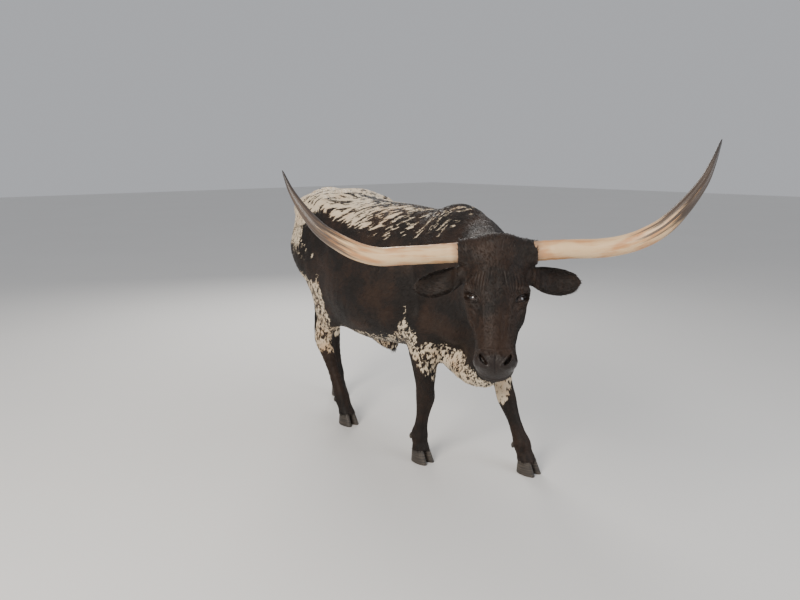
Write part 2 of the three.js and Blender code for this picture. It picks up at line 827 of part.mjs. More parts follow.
// Tail: dock from the tail head down to the switch
const TAIL_PATH = [
  [0, 1366, 1440],
  [0, 1398, 1414],
  [4, 1430, 1376],
  [14, 1450, 1310],
  [30, 1460, 1200],
  [46, 1468, 1060],
  [58, 1476, 930],
  [64, 1480, 840],
];
const TAIL_RADII = [34, 33, 30, 26, 23, 21, 19, 18];
const TAIL_SEAT = [[0, 1398, 1414], [0, 0.72, -0.69]];
const SWITCH_CUT = [[0, 0, 880], [0, 0, -1]];
const dock = tube(TAIL_PATH, TAIL_RADII, 12, 10);
const seat = spaceWithin(
  [
    TAIL_SEAT,
    [[-40, 0, 0], [1, 0, 0]],
    [[40, 0, 0], [-1, 0, 0]],
    [[0, 0, 1330], [0, 0, 1]],
  ],
  -GAP / 2,
);
addPart("tail", trimmed(dock, [TAIL_SEAT, reversed(SWITCH_CUT)]), "coat");

// Switch of the tail: a narrow core with locks hanging round it
const SWITCH_PATH = [
  [61, 1478, 900],
  [62, 1480, 840],
  [60, 1482, 740],
  [56, 1485, 620],
  [54, 1487, 520],
];
const SWITCH_LOCKS = {
  count: 10,
  seed: 11,
  from: 0.08,
  to: 0.8,
  length: [190, 250],
  splay: 22,
  broad: 34,
};
const switchCore = tube(SWITCH_PATH, [18, 19, 20, 17, 8], 8, 8);
const switchLocks = locksRound(SWITCH_PATH, [0, 0.02, -1], SWITCH_LOCKS);
const switchHair = switchLocks.reduce((a, b) => a.add(b), switchCore);
addPart("tail_switch", trimmed(switchHair, [SWITCH_CUT]), "hair");

// Sheath under the belly, with the tuft at its end
const SHEATH_CUT = [[0, 0, 598], [0, 0, -1]];
const SHEATH_SPAN = [
  [[0, 500, 0], [0, 1, 0]],
  [[0, 840, 0], [0, -1, 0]],
];
const TUFT_PATH = [[0, 614, 574], [0, 603, 552], [0, 597, 536]];
const TUFT_LOCKS = {
  count: 6,
  seed: 5,
  from: 0,
  to: 0.7,
  length: [44, 56],
  splay: 9,
  broad: 17,
};
const sheathField = joined(trunk, [sheath, 40]);
const sheathSolid = surfaceOf(sheathField, [-96, 540, 490], [96, 850, 670], [24, 28, 22]);
const tuftCore = tube(TUFT_PATH, [18, 13, 5], 3, 7);
const tuft = locksRound(TUFT_PATH, [0, -0.2, -0.98], TUFT_LOCKS).reduce((a, b) => a.add(b), tuftCore);
addPart("sheath", trimmed(sheathSolid, [SHEATH_CUT]).add(tuft), "coat");

// Torso
const torsoField = joined(
  trunk,
  [neck, 90],
  ...Object.entries(legFields).map(([name, f]) => [f, name.startsWith("fore") ? 60 : 80]),
);
let torso = surfaceOf(torsoField, [-420, -560, 490], [420, 1520, 1590], [61, 73, 61]);
torso = trimmed(torso, [reversed(NECK_CUT)]);
for (const planes of Object.values(LEG_CUTS)) torso = without(torso, planes);
torso = without(torso.subtract(seat), [SHEATH_CUT, ...SHEATH_SPAN]);
addPart("torso", torso, "speckled");

// Neck
const neckField = joined(trunk, [neck, 90], [headInBody, 50]);
const neckSolid = surfaceOf(neckField, [-780, -900, 470], [260, 80, 1590], [49, 49, 49]);
addPart("neck", trimmed(neckSolid, [NECK_CUT, reversed(headCutInBody)]), "coat");

// Legs
for (const [name, stations] of Object.entries(LEGS)) {
  const fore = name.startsWith("fore");
  const side = name.endsWith("left") ? LEFT : RIGHT;
  const [upper, joint, fetlock] = [1, 4, 8].map((n) => vec(stations[n].at));
  const foot = stations[stations.length - 1].at;
  const axis = joint.clone().sub(upper).normalize();
  axis.add(fetlock.clone().sub(joint).normalize()).normalize();
  const jointCut = [joint.toArray(), [0, axis.y, axis.z]];
  const coronetCut = [[0, 0, HOOF_HEIGHT], [0, 0, 1]];
  const ys = stations.map((s) => s.at[1]);
  const xs = [foot[0] - side * 190, foot[0] + side * 170].sort((a, b) => a - b);

  const top = surfaceOf(
    joined(trunk, [legFields[name], fore ? 60 : 80]),
    [xs[0], Math.min(...ys) - 260, joint.z - 100],
    [xs[1], Math.max(...ys) + 340, fore ? 800 : 1180],
    fore ? [34, 38, 40] : [40, 46, 46],
  );
  addPart(`${name}_upper_leg`, trimmed(top, [...LEG_CUTS[name], reversed(jointCut)]), "coat");

  let shank = surfaceOf(
    legFields[name],
    [foot[0] - 100, Math.min(...ys) - 100, HOOF_HEIGHT - 50],
    [foot[0] + 100, Math.max(...ys) + 160, joint.z + 120],
    [24, 26, 42],
  );
  shank = trimmed(shank, [jointCut, coronetCut]);
  for (const place of [LEFT, RIGHT]) {
    const which = place === side ? "outer" : "inner";
    const at = [fetlock.x + place * 22, fetlock.y + 42, fetlock.z - 10];
    const radii = [12, 13, 19];
    shank = shank.subtract(ball(at, radii.map((r) => r + GAP), 6, 5));
    addPart(`${name}_dewclaw_${which}`, ball(at, radii, 6, 5), "hoof");
    addPart(`${name}_claw_${which}`, claw(foot, place), "hoof");
  }
  addPart(`${name}_lower_leg`, shank, "coat");
}

// One claw of a cloven hoof, on the side `place` of the foot, standing flat on the floor.
function claw(foot, place) {
  const cleft = 2.5;
  const levels = [0, 0.12, 0.55, 1];
  const sides = 12;
  return loft(
    levels.map((t) =>
      Array.from({ length: sides }, (_, n) => {
        const turn = (2 * Math.PI * n) / sides;
        const half = lerp(26, 21.5, t) - (t === 0 ? 1.5 : 0);
        const toe = foot[1] - lerp(76, 42, t);
        const heel = foot[1] + lerp(42, 40, t);
        const front = Math.cos(turn);
        const round = (c) => Math.sign(c) * Math.abs(c) ** 0.85;
        const narrow = 1 - 0.22 * Math.max(front, 0);
        const x = place * (half + cleft) + half * narrow * round(Math.sin(turn));
        const y = (toe + heel) / 2 + ((toe - heel) / 2) * round(front);
        return new THREE.Vector3(foot[0] + x, y, t * (HOOF_HEIGHT - GAP / 2));
      }),
    ),
  );
}

// Head with its sockets, lids, nostrils and the line of the mouth
const headField = joined(headNear, [neckInHead, 50]);
const skullSolid = surfaceOf(headField, [-208, -60, -560], [208, 290, 90], [21.5, 21.5, 26]);
const hornPlanes = [LEFT, RIGHT].map((side) => [[side * HORN_ROOT_OUT, 0, 0], [-side, 0, 0]]);
let face = trimmed(skullSolid, [HEAD_CUT, ...hornPlanes]);
let lowerJaw = trimmed(face, [JAW_CUT]);
face = trimmed(face, [reversed(JAW_CUT)]);

// Mouth line: a groove round the front of the muzzle, in the plane of the jaw's cut
const MOUTH_DEPTH = 4.5;
const mouthPath = [];
for (let turn = -110; turn <= 110; turn += 22) {
  const middle = [0, 103.5, -440];
  const direction = [Math.sin(rad(turn)), -0.34 * Math.cos(rad(turn)), -0.94 * Math.cos(rad(turn))];
  const reach = reachOf(headField, middle, direction);
  mouthPath.push(middle.map((c, i) => c + direction[i] * reach));
}
const groove = tube(mouthPath, [1.5, MOUTH_DEPTH, MOUTH_DEPTH, MOUTH_DEPTH, 1.5], 16, 5);
face = face.subtract(groove);
lowerJaw = lowerJaw.subtract(groove);

for (const side of [LEFT, RIGHT]) {
  const name = side === LEFT ? "left" : "right";

  // Nostril: a slanted pocket in the front of the muzzle
  const start = [side * 40, 60, -466];
  const depth = reachOf(headField, start, [side * 0.24, -0.97, 0]);
  const pocket = new THREE.SphereGeometry(1, 10, 8)
    .scale(9, 13, 19)
    .rotateY(rad(side * -32))
    .translate(start[0] + side * 0.24 * depth, start[1] - 0.97 * depth + 3, start[2]);
  face = face.subtract(solidOf(pocket));

  // Eye between its lids
  const eyeAt = [side * EYE_IN_HEAD[0], EYE_IN_HEAD[1], EYE_IN_HEAD[2]];
  const lids = ball(eyeAt, [LID_RADIUS, LID_RADIUS, LID_RADIUS], 12, 8);
  const almond = new THREE.Shape();
  almond.moveTo(-19, -2);
  almond.quadraticCurveTo(-2, 21, 19, 2);
  almond.quadraticCurveTo(2, -17, -19, -2);
  const out = new THREE.Vector3(side * 0.68, -0.73, 0.06).normalize();
  const long = new THREE.Vector3(side * 0.7, 0.66, 0.26);
  long.addScaledVector(out, -long.dot(out)).normalize();
  const high = new THREE.Vector3().crossVectors(out, long);
  if (high.z < 0) high.negate();
  const through = { depth: 45, bevelEnabled: false, curveSegments: 5 };
  const opening = new THREE.ExtrudeGeometry(almond, through);
  opening.applyMatrix4(new THREE.Matrix4().makeBasis(long, high, out).setPosition(...eyeAt));
  const socket = EYE_RADIUS + GAP;
  face = face.add(lids).subtract(solidOf(opening));
  face = face.subtract(ball(eyeAt, [socket, socket, socket], 12, 9));
  addPart(`eye_${name}`, ball(eyeAt, [EYE_RADIUS, EYE_RADIUS, EYE_RADIUS], 12, 9), "eye", headGroup);

  // Ear: a cupped leaf on a short round stalk
  const earPlane = [[side * EAR_ROOT[0], 0, 0], [side, 0, 0]];
  face = without(face, [earPlane, [[0, 0, -91], [0, 0, -1]]]);
  addPart(`ear_${name}`, trimmed(ear(side), [earPlane]), "coat", headGroup);

  // Horn: out level from the poll, then forward and up to the tip
  const path = HORN_PATHS[name].map(([outward, y, up]) => [side * (HORN_ROOT_OUT + outward), y, up]);
  const hornPlane = [[side * HORN_ROOT_OUT, 0, 0], [side, 0, 0]];
  addPart(`horn_${name}`, trimmed(tube(path, HORN_RADII, 17, 12), [hornPlane]), "horn", crownGroup);
}
addPart("head", face, "coat", headGroup);
addPart("lower_jaw", lowerJaw, "coat", headGroup);

function ear(side) {
  const rings = [0, 0.06, 0.14, 0.24, 0.36, 0.5, 0.64, 0.78, 0.9, 1];
  const heights = [35, 38, 44, 50, 53, 54, 51, 43, 29, 6];
  const [droop, lift] = EAR_DROOP[side > 0 ? "left" : "right"];
  const cups = [24, 24, 26, 30, 32, 30, 24, 16, 8, 2];
  const walls = [1, 1, 0.85, 0.45, 0.28, 0.22, 0.22, 0.26, 0.4, 1];
  const half = 6;
  return loft(
    rings.map((t, r) =>
      Array.from({ length: 2 * half }, (_, n) => {
        const back = n <= half;
        const v = back ? -1 + (2 * n) / half : 1 - (2 * (n - half)) / half;
        const swing = (v * Math.PI) / 2;
        const depth = cups[r] * Math.cos(swing);
        const inner = depth - 2 * cups[r] * walls[r] * Math.cos(swing);
        const outward = EAR_ROOT[0] - 12 + (EAR_LENGTH + 12) * t;
        const sag = droop * t + lift * t * t;
        return new THREE.Vector3(
          side * outward,
          EAR_ROOT[1] + 34 * t + (back ? depth : inner),
          EAR_ROOT[2] + heights[r] * Math.sin(swing) - sag,
        );
      }),
    ),
  );
}

// The origin is on the floor, under the middle of the whole animal.
const middle = new THREE.Box3().setFromObject(root, true).getCenter(new THREE.Vector3());
root.position.set(-middle.x, -middle.y, 0);

export default root;
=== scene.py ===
"""A life-size Texas longhorn steer: skin, coat, horns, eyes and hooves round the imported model."""

import math
from contextlib import contextmanager

import bmesh
import bpy
import numpy as np
from mathutils import Matrix, Vector


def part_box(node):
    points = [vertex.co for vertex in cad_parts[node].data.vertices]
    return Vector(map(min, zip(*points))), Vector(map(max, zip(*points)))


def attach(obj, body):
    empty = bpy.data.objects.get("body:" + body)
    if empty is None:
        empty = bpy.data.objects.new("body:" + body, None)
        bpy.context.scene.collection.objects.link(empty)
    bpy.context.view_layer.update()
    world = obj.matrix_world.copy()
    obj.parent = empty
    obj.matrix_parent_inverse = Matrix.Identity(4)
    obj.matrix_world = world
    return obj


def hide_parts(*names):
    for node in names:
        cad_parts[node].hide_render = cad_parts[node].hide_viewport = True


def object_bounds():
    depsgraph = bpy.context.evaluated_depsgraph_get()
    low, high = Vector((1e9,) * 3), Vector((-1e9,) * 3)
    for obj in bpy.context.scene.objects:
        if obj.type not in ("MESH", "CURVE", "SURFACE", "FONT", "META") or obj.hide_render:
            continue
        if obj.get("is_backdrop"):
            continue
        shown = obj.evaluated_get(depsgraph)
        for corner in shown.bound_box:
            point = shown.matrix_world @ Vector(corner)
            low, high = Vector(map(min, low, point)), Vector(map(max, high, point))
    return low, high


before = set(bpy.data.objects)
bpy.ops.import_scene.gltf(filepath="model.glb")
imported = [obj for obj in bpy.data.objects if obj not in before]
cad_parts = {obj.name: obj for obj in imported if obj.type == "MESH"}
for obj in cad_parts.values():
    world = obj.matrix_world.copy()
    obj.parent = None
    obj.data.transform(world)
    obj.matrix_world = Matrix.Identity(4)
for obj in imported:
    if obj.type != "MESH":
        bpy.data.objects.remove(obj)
cad_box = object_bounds()
RANDOM = np.random.default_rng(20)

# ---- sizes, in millimetres, as in the solids
WITHERS_HEIGHT = 1412
HIP_HEIGHT = 1492
HEAD_YAW = -49
HEAD_PITCH = -20
CROWN = (-655, -749, 1338)
CROWN_IN_HEAD = (0, 80, -45)
HORN_ROOT_OUT = 150
HORN_RADII = (40, 38, 37, 37, 36.5, 36, 32.5, 26.5, 19.5, 11.5, 3.5)
EAR_ROOT = (146, 122, -128)
EAR_LENGTH = 181
EAR_DROOP = {1: (50, -36), -1: (92, -44)}
EYE_RADIUS = 20
EYE_IN_HEAD = (84, 56, -229)
HOOF_HEIGHT = 72
FAR = 130
LEFT, RIGHT = 1, -1
SIDES = ((LEFT, "left"), (RIGHT, "right"))
HEAD_MIDDLE = np.array([0, 90, -230])
COAT_DEPTH = 1.5
OVERLAP = 0.0008
VOXEL = 7.0

# The model's own origin is below the withers; the frame's is below the middle of the animal.
# The corner of the right fore leg's outer claw with the largest x and smallest y is known in both.
CLAW_CORNER = (-168.5, 100.0)
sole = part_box("fore_right_claw_outer")
SHIFT = np.array([sole[1].x * 1000 - CLAW_CORNER[0], sole[0].y * 1000 - CLAW_CORNER[1], 0.0])


def to_row(points):
    return (np.asarray(points, float) + SHIFT) / 1000


def from_row(points):
    return np.asarray(points, float) * 1000 - SHIFT


def unit(v):
    v = np.asarray(v, float)
    return v / np.maximum(np.linalg.norm(v, axis=-1, keepdims=True), 1e-12)


def smooth(low, high, x):
    t = np.clip((x - low) / (high - low), 0, 1)
    return t * t * (3 - 2 * t)


def mix(a, b, t):
    return a * (1 - t) + b * t


# ---- the body as one smooth field
def soft_min(a, b, k):
    near = np.maximum(k - np.abs(a - b), 0) / k
    return np.minimum(a, b) - near * near * k / 4


def soft_max(a, b, k):
    return -soft_min(-a, -b, k)


def oval(u, v, w, ru, rv, rw):
    near = np.sqrt((u / ru) ** 2 + (v / rv) ** 2 + (w / rw) ** 2)
    slope = np.sqrt((u / ru**2) ** 2 + (v / rv**2) ** 2 + (w / rw**2) ** 2)
    return near * (near - 1) / np.maximum(slope, 1e-9)


def curve(points, count):
    """Centripetal curve through the points, at count + 1 even steps."""
    pts = np.asarray(points, float)
    last = len(pts) - 1
    out = []
    for step in range(count + 1):
        place = last * step / count
        i = min(int(place), last - 1)
        w = place - i
        p1, p2 = pts[i], pts[i + 1]
        p0 = pts[i - 1] if i > 0 else 2 * pts[0] - pts[1]
        p3 = pts[i + 2] if i + 2 <= last else 2 * pts[last] - pts[last - 1]
        d0, d1, d2 = (np.linalg.norm(b - a) ** 0.5 for a, b in ((p0, p1), (p1, p2), (p2, p3)))
        d1 = 1.0 if d1 < 1e-4 else d1
        d0 = d1 if d0 < 1e-4 else d0
        d2 = d1 if d2 < 1e-4 else d2
        t1 = ((p1 - p0) / d0 - (p2 - p0) / (d0 + d1) + (p2 - p1) / d1) * d1
        t2 = ((p2 - p1) / d1 - (p3 - p1) / (d1 + d2) + (p3 - p2) / d2) * d1
        c2 = -3 * p1 + 3 * p2 - 2 * t1 - t2
        c3 = 2 * p1 - 2 * p2 + t1 + t2
        out.append(p1 + t1 * w + c2 * w * w + c3 * w**3)
    return np.array(out)


def culled(middle, reach, field):
    """The field near a ball, and the distance to that ball elsewhere."""

    def read(p):
        away = np.linalg.norm(p - middle, axis=1) - reach
        near = away < FAR
        if near.any():
            away[near] = field(p[near])
        return away

    return read


def bar(a, b, across):
    (pa, sa, da), (pb, sb, db) = a, b
    pa, pb = np.asarray(pa, float), np.asarray(pb, float)
    length = np.linalg.norm(pb - pa)
    along = (pb - pa) / length
    down = unit(np.cross(along, across))
    out = np.cross(down, along)

    def field(p):
        q = p - pa
        s = q @ along
        t = np.clip(s / length, 0, 1)
        ru, rv = sa + (sb - sa) * t, da + (db - da) * t
        return oval(q @ out, q @ down, s - t * length, ru, rv, (ru + rv) / 2)

    return culled((pa + pb) / 2, length / 2 + max(sa, sb, da, db), field)


def limb(stations, across=(1, 0, 0), steps=3):
    """A smooth chain of oval bars. A station is (place, half-width across, half-depth)."""
    count = (len(stations) - 1) * steps
    path = curve([s[0] for s in stations], count)
    girth = curve([(s[1], s[2], 0) for s in stations], count)
    fine = [(p, g[0], g[1]) for p, g in zip(path, girth)]
    bars = [bar(fine[i], fine[i + 1], across) for i in range(count)]
    middle = (path[0] + path[-1]) / 2
    reach = max(np.linalg.norm(p - middle) + s + d for p, s, d in fine)

    def field(p):
        d = bars[0](p)
        for f in bars[1:]:
            d = soft_min(d, f(p), 12)
        return d

    return culled(middle, reach, field)


def lump(at, radii, turn=(0, 0, 0)):
    rx, ry, rz = (np.array(Matrix.Rotation(math.radians(a), 3, axis)) for a, axis in zip(turn, "XYZ"))
    turned = rx @ ry @ rz
    return culled(np.array(at, float), max(radii), lambda p: oval(*((p - at) @ turned).T, *radii))


def mirrored(field):
    return lambda p: field(np.column_stack([np.abs(p[:, 0]), p[:, 1:]]))


def joined(first, *rest):
    def field(p):
        d = first(p)
        for f, k in rest:
            d = soft_min(d, f(p), k)
        return d

    return field


# Cross-sections along the trunk: place, top, floor, half-width, height of that width
TRUNK = np.array(
    [
        (-190, 1210, 760, 150, 950), (-50, 1332, 665, 215, 980),
        (130, WITHERS_HEIGHT - 24, 640, 265, 990),
        (380, 1424, 622, 328, 960), (680, 1440, 606, 350, 965), (930, 1470, 660, 302, 1040),
        (1130, HIP_HEIGHT, 860, 240, 1190),
        (1320, 1440, 1060, 125, 1270),
    ],
    float,
)
TRUNK_CAP = 90


def trunk_core(p):
    x, y, z = p.T
    ys = TRUNK[:, 0]
    inside = np.clip(y, ys[0], ys[-1])
    slopes = np.empty_like(TRUNK)
    slopes[1:-1] = (TRUNK[2:] - TRUNK[:-2]) / (ys[2:] - ys[:-2])[:, None]
    slopes[0] = (TRUNK[1] - TRUNK[0]) / (ys[1] - ys[0])
    slopes[-1] = (TRUNK[-1] - TRUNK[-2]) / (ys[-1] - ys[-2])
    i = np.clip(np.searchsorted(ys, inside) - 1, 0, len(ys) - 2)
    step = ys[i + 1] - ys[i]
    t = ((inside - ys[i]) / step)[:, None]
    step = step[:, None]
    row = (
        (2 * t**3 - 3 * t**2 + 1) * TRUNK[i]
        + (t**3 - 2 * t**2 + t) * step * slopes[i]
        + (3 * t**2 - 2 * t**3) * TRUNK[i + 1]
        + (t**3 - t**2) * step * slopes[i + 1]
    )
    top, floor, half, widest = row[:, 1], row[:, 2], row[:, 3], row[:, 4]
    above = z > widest
    tall = np.where(above, top - widest, widest - floor)
    power = np.where(above, 2.15, 2.3)
    u, v, w = np.abs(x) / half, np.abs(z - widest) / tall, np.abs(y - inside) / TRUNK_CAP
    near = (u**power + v**power + w**power) ** (1 / power)
    reach = np.sqrt(x**2 + (z - widest) ** 2 + (y - inside) ** 2)
    return reach * (near - 1) / np.maximum(near, 1e-6)


shoulder = mirrored(
    limb(
        [
            ((110, 70, 1326), 45, 90), ((185, 0, 1180), 70, 150), ((205, -95, 985), 72, 125),
            ((195, -60, 850), 66, 105),
        ]
    )
)
hip = mirrored(lump((204, 985, 1396), (58, 118, 54), (0, 0, 12)))
rump = mirrored(lump((120, 1120, 1400), (110, 230, 80), (-8, 0, -14)))
pin = mirrored(lump((112, 1372, 1325), (50, 60, 52)))
tail_head = lump((0, 1300, 1440), (60, 130, 52), (-14, 0, 0))
withers = lump((0, 90, WITHERS_HEIGHT - 90), (80, 240, 62), (4, 0, 0))
breast = lump((-10, -120, 960), (205, 150, 230), (8, 0, 0))
brisket = limb(
    [
        ((-70, -270, 880), 100, 110), ((-86, -228, 652), 96, 108), ((-62, -120, 602), 92, 90),
        ((-36, 52, 642), 96, 76),
    ]
)
sheath = limb([((0, 770, 622), 44, 36), ((0, 680, 590), 40, 36), ((0, 610, 570), 28, 28)])
flank_fold = mirrored(lump((205, 965, 800), (40, 120, 150), (-25, 0, 0)))
thigh = mirrored(limb([((150, 1150, 1290), 100, 190), ((172, 1180, 1120), 105, 215)]))
trunk = joined(
    trunk_core,
    *[(withers, 70), (shoulder, 85), (breast, 90), (brisket, 70), (hip, 110), (rump, 60)],
    *[(tail_head, 60), (pin, 60), (thigh, 70), (flank_fold, 80), (sheath, 40)],
)


def between(side, out, a, b, t):
    return (side * out, a[0] + (b[0] - a[0]) * t, a[1] + (b[1] - a[1]) * t)


def fore_stations(side, elbow, knee, fetlock, hoof):
    return [
        ((side * 190, elbow[0], elbow[1] + 60), 80, 125),
        ((side * 184, elbow[0] + 4, elbow[1] - 60), 70, 96),
        (between(side, 176, elbow, knee, 0.55), 57, 68),
        (between(side, 172, elbow, knee, 0.85), 47, 49),
        ((side * 170, *knee), 49, 48),
        (between(side, 169, knee, fetlock, 0.25), 38, 40),
        (between(side, 168, knee, fetlock, 0.55), 31, 34),
        (between(side, 167, knee, fetlock, 0.82), 33, 38),
        ((side * 166, *fetlock), 43, 45),
        (between(side, 166, fetlock, hoof, 0.5), 40, 38),
        ((side * 166, *hoof), 50, 50),
    ]


def hind_stations(side, out, stifle, hock, fetlock, hoof):
    return [
        ((side * (out + 22), stifle[0] + 120, stifle[1] + 190), 100, 205),
        ((side * (out + 28), *stifle), 88, 150),
        (between(side, out + 14, stifle, hock, 0.4), 66, 100),
        (between(side, out + 5, stifle, hock, 0.75), 47, 64),
        ((side * out, *hock), 46, 66),
        (between(side, out, hock, fetlock, 0.22), 40, 50),
        (between(side, out, hock, fetlock, 0.55), 33, 38),
        (between(side, out, hock, fetlock, 0.85), 35, 40),
        ((side * out, *fetlock), 43, 46),
        (between(side, out, fetlock, hoof, 0.5), 40, 38),
        ((side * out, *hoof), 50, 50),
    ]


LEGS = {
    "fore_left": fore_stations(LEFT, (-10, 750), (-158, 388), (-282, 150), (-318, 62)),
    "fore_right": fore_stations(RIGHT, (142, 750), (138, 388), (188, 150), (176, 62)),
    "hind_left": hind_stations(LEFT, 146, (1085, 850), (1425, 530), (1380, 160), (1362, 62)),
    "hind_right": hind_stations(RIGHT, 140, (984, 850), (1140, 520), (945, 155), (895, 62)),
}
HOCK_TENDONS = {
    "hind_left": (LEFT, 146, (1466, 560), (1300, 764)),
    "hind_right": (RIGHT, 140, (1170, 550), (1152, 800)),
}
leg_fields = {name: limb(stations) for name, stations in LEGS.items()}
for name, (side, out, point, top) in HOCK_TENDONS.items():
    tendon = limb(
        [
            ((side * out, *point), 21, 24),
            (between(side, out + 4, point, top, 0.5), 20, 26),
            ((side * (out + 10), *top), 40, 44),
        ],
        steps=2,
    )
    leg_fields[name] = joined(leg_fields[name], (tendon, 30))

NECK_ACROSS = (0.72, -0.69, 0)
neck = joined(
    limb(
        [
            ((0, 60, 1120), 200, 300), ((-75, -170, 1104), 180, 262), ((-250, -370, 1120), 145, 210),
            ((-420, -530, 1148), 118, 166), ((-540, -640, 1186), 100, 130),
        ],
        NECK_ACROSS,
    ),
    (
        limb(
            [
                ((0, 60, 1380), 70, 60), ((-110, -190, 1308), 68, 66), ((-300, -410, 1254), 64, 60),
                ((-520, -620, 1250), 62, 50),
            ],
            NECK_ACROSS,
        ),
        60,
    ),
    (
        limb(
            [
                ((-470, -600, 1010), 44, 64), ((-330, -480, 900), 46, 82), ((-180, -350, 800), 58, 92),
                ((-60, -220, 720), 74, 92),
            ],
            NECK_ACROSS,
        ),
        90,
    ),
)

# The head in its own frame: the face looks along -Y and the muzzle points to -Z


def turn_of(pitch):
    yaw = Matrix.Rotation(math.radians(HEAD_YAW), 3, "Z")
    return np.array(yaw @ Matrix.Rotation(math.radians(pitch), 3, "X"))


HEAD_TURN = turn_of(HEAD_PITCH)
HEAD_AT = np.array(CROWN) - HEAD_TURN @ np.array(CROWN_IN_HEAD)
CROWN_TURN = turn_of(0)


def head_to_model(p):
    return np.asarray(p, float) @ HEAD_TURN.T + HEAD_AT


def model_to_head(p):
    return (np.asarray(p, float) - HEAD_AT) @ HEAD_TURN


def crown_to_model(p):
    return np.asarray(p, float) @ CROWN_TURN.T + np.array(CROWN)


skull = limb(
    [
        ((0, 92, -62), 94, 78), ((0, 92, -130), 108, 86), ((0, 92, -215), 104, 88),
        ((0, 82, -300), 90, 76), ((0, 68, -390), 73, 62), ((0, 60, -450), 70, 56),
    ]
)
muzzle = joined(
    lump((0, 52, -466), (81, 52, 48)),
    (mirrored(lump((40, 26, -455), (26, 24, 34), (0, 0, 20))), 26),
    (lump((0, 84, -502), (62, 44, 28)), 22),
)
jaw = limb(
    [
        ((0, 190, -175), 66, 56), ((0, 180, -240), 64, 54), ((0, 140, -350), 58, 42),
        ((0, 108, -440), 50, 32), ((0, 92, -500), 44, 26),
    ]
)
cheek = mirrored(lump((68, 150, -240), (40, 70, 105), (-14, 0, 0)))
orbit = mirrored(lump((95, 56, -204), (31, 34, 42), (0, 0, 14)))
cheekbone = mirrored(lump((86, 84, -262), (24, 34, 60), (-8, 6, 0)))
sleeve_bar = limb([((50, 86, -44), 58, 52), ((160, 80, -44), 46, 46)], (0, 0, 1), 2)
horn_sleeve = mirrored(lambda p: soft_max(sleeve_bar(p), p[:, 0] - HORN_ROOT_OUT - 3, 9))
ear_stub = mirrored(limb([((90, 120, -124), 42, 32), ((160, 122, -130), 36, 26)], (0, 0, 1), 1))
poll = lump((0, 84, -8), (70, 62, 32))
nose_bridge = limb([((0, 34, -190), 60, 26), ((0, 30, -320), 44, 26), ((0, 28, -410), 42, 26)], steps=2)
head = joined(
    skull,
    *[(jaw, 36), (cheek, 40), (cheekbone, 26), (orbit, 30), (nose_bridge, 30)],
    *[(muzzle, 30), (poll, 34), (horn_sleeve, 34), (ear_stub, 24)],
)
head_near = culled(HEAD_MIDDLE, 340, head)

TAIL_PATH = [
    (0, 1366, 1440), (0, 1398, 1414), (4, 1430, 1376), (14, 1450, 1310), (30, 1460, 1200),
    (46, 1468, 1060), (58, 1476, 930), (64, 1480, 840),
]
TAIL_RADII = (34, 33, 30, 26, 23, 21, 19, 18)
tail = limb([(p, r * 0.98, r * 0.98) for p, r in zip(TAIL_PATH, TAIL_RADII)], steps=2)

body = joined(
    trunk,
    (neck, 90),
    *[(f, 60 if name.startswith("fore") else 80) for name, f in leg_fields.items()],
    (sheath, 40),
    (lambda p: head_near(model_to_head(p)), 50),
    (tail, 22),
)


def gradient(field, p, here, probe=1.0):
    g = np.empty_like(p)
    for axis in range(3):
        q = p.copy()
        q[:, axis] += probe
        g[:, axis] = (field(q) - here) / probe
    return g


def settle(p, field, depth=0.0, rounds=3, most=9.0):
    """Moves points onto the field's surface, `depth` below it."""
    for _ in range(rounds):
        here = field(p)
        g = gradient(field, p, here)
        steep = np.maximum((g * g).sum(1), 0.08)
        step = np.clip((here + depth) / steep, -most, most)
        p = p - g * step[:, None]
    return p


# ---- meshes
def numbers(items, name, width=3, kind=float):
    """One property of many mesh elements, as rows."""
    out = np.empty(len(items) * width, kind)
    items.foreach_get(name, out)
    return out.reshape(-1, width)


def points_of(obj):
    return from_row(numbers(obj.data.vertices, "co"))


def normals_of(obj):
    return numbers(obj.data.vertex_normals, "vector")


def set_points(obj, at):
    obj.data.vertices.foreach_set("co", to_row(at).astype(np.float32).ravel())
    obj.data.update()


def smooth_shaded(mesh):
    mesh.polygons.foreach_set("use_smooth", np.ones(len(mesh.polygons), bool))


def linked(name, data):
    obj = bpy.data.objects.new(name, data)
    bpy.context.scene.collection.objects.link(obj)
    return obj


@contextmanager
def edited(mesh):
    """The mesh as a bmesh, written back at the end."""
    bm = bmesh.new()
    bm.from_mesh(mesh)
    yield bm
    bm.to_mesh(mesh)
    bm.free()


def closed(obj):
    """Fills the open ends and turns every face outward."""
    with edited(obj.data) as bm:
        bmesh.ops.holes_fill(bm, edges=[e for e in bm.edges if e.is_boundary], sides=0)
        bmesh.ops.recalc_face_normals(bm, faces=bm.faces)
    return obj


def new_object(name, at, faces, smooth_faces=True):
    """Object from points in the model's frame and an array of faces of one size."""
    faces = np.asarray(faces, np.int32)
    count, sides = faces.shape
    mesh = bpy.data.meshes.new(name)
    mesh.vertices.add(len(at))
    mesh.vertices.foreach_set("co", to_row(at).astype(np.float32).ravel())
    mesh.loops.add(faces.size)
    mesh.loops.foreach_set("vertex_index", faces.ravel())
    mesh.polygons.add(count)
    mesh.polygons.foreach_set("loop_start", np.arange(0, faces.size, sides, dtype=np.int32))
    mesh.polygons.foreach_set("loop_total", np.full(count, sides, np.int32))
    mesh.polygons.foreach_set("use_smooth", np.full(count, smooth_faces))
    mesh.update(calc_edges=True)
    mesh.validate()
    return linked(name, mesh)


def attribute(mesh, name, values):
    values = np.asarray(values, np.float32)
    kind = "FLOAT_VECTOR" if values.ndim == 2 else "FLOAT"
    layer = mesh.attributes.get(name) or mesh.attributes.new(name, kind, "POINT")
    layer.data.foreach_set("vector" if values.ndim == 2 else "value", values.ravel())


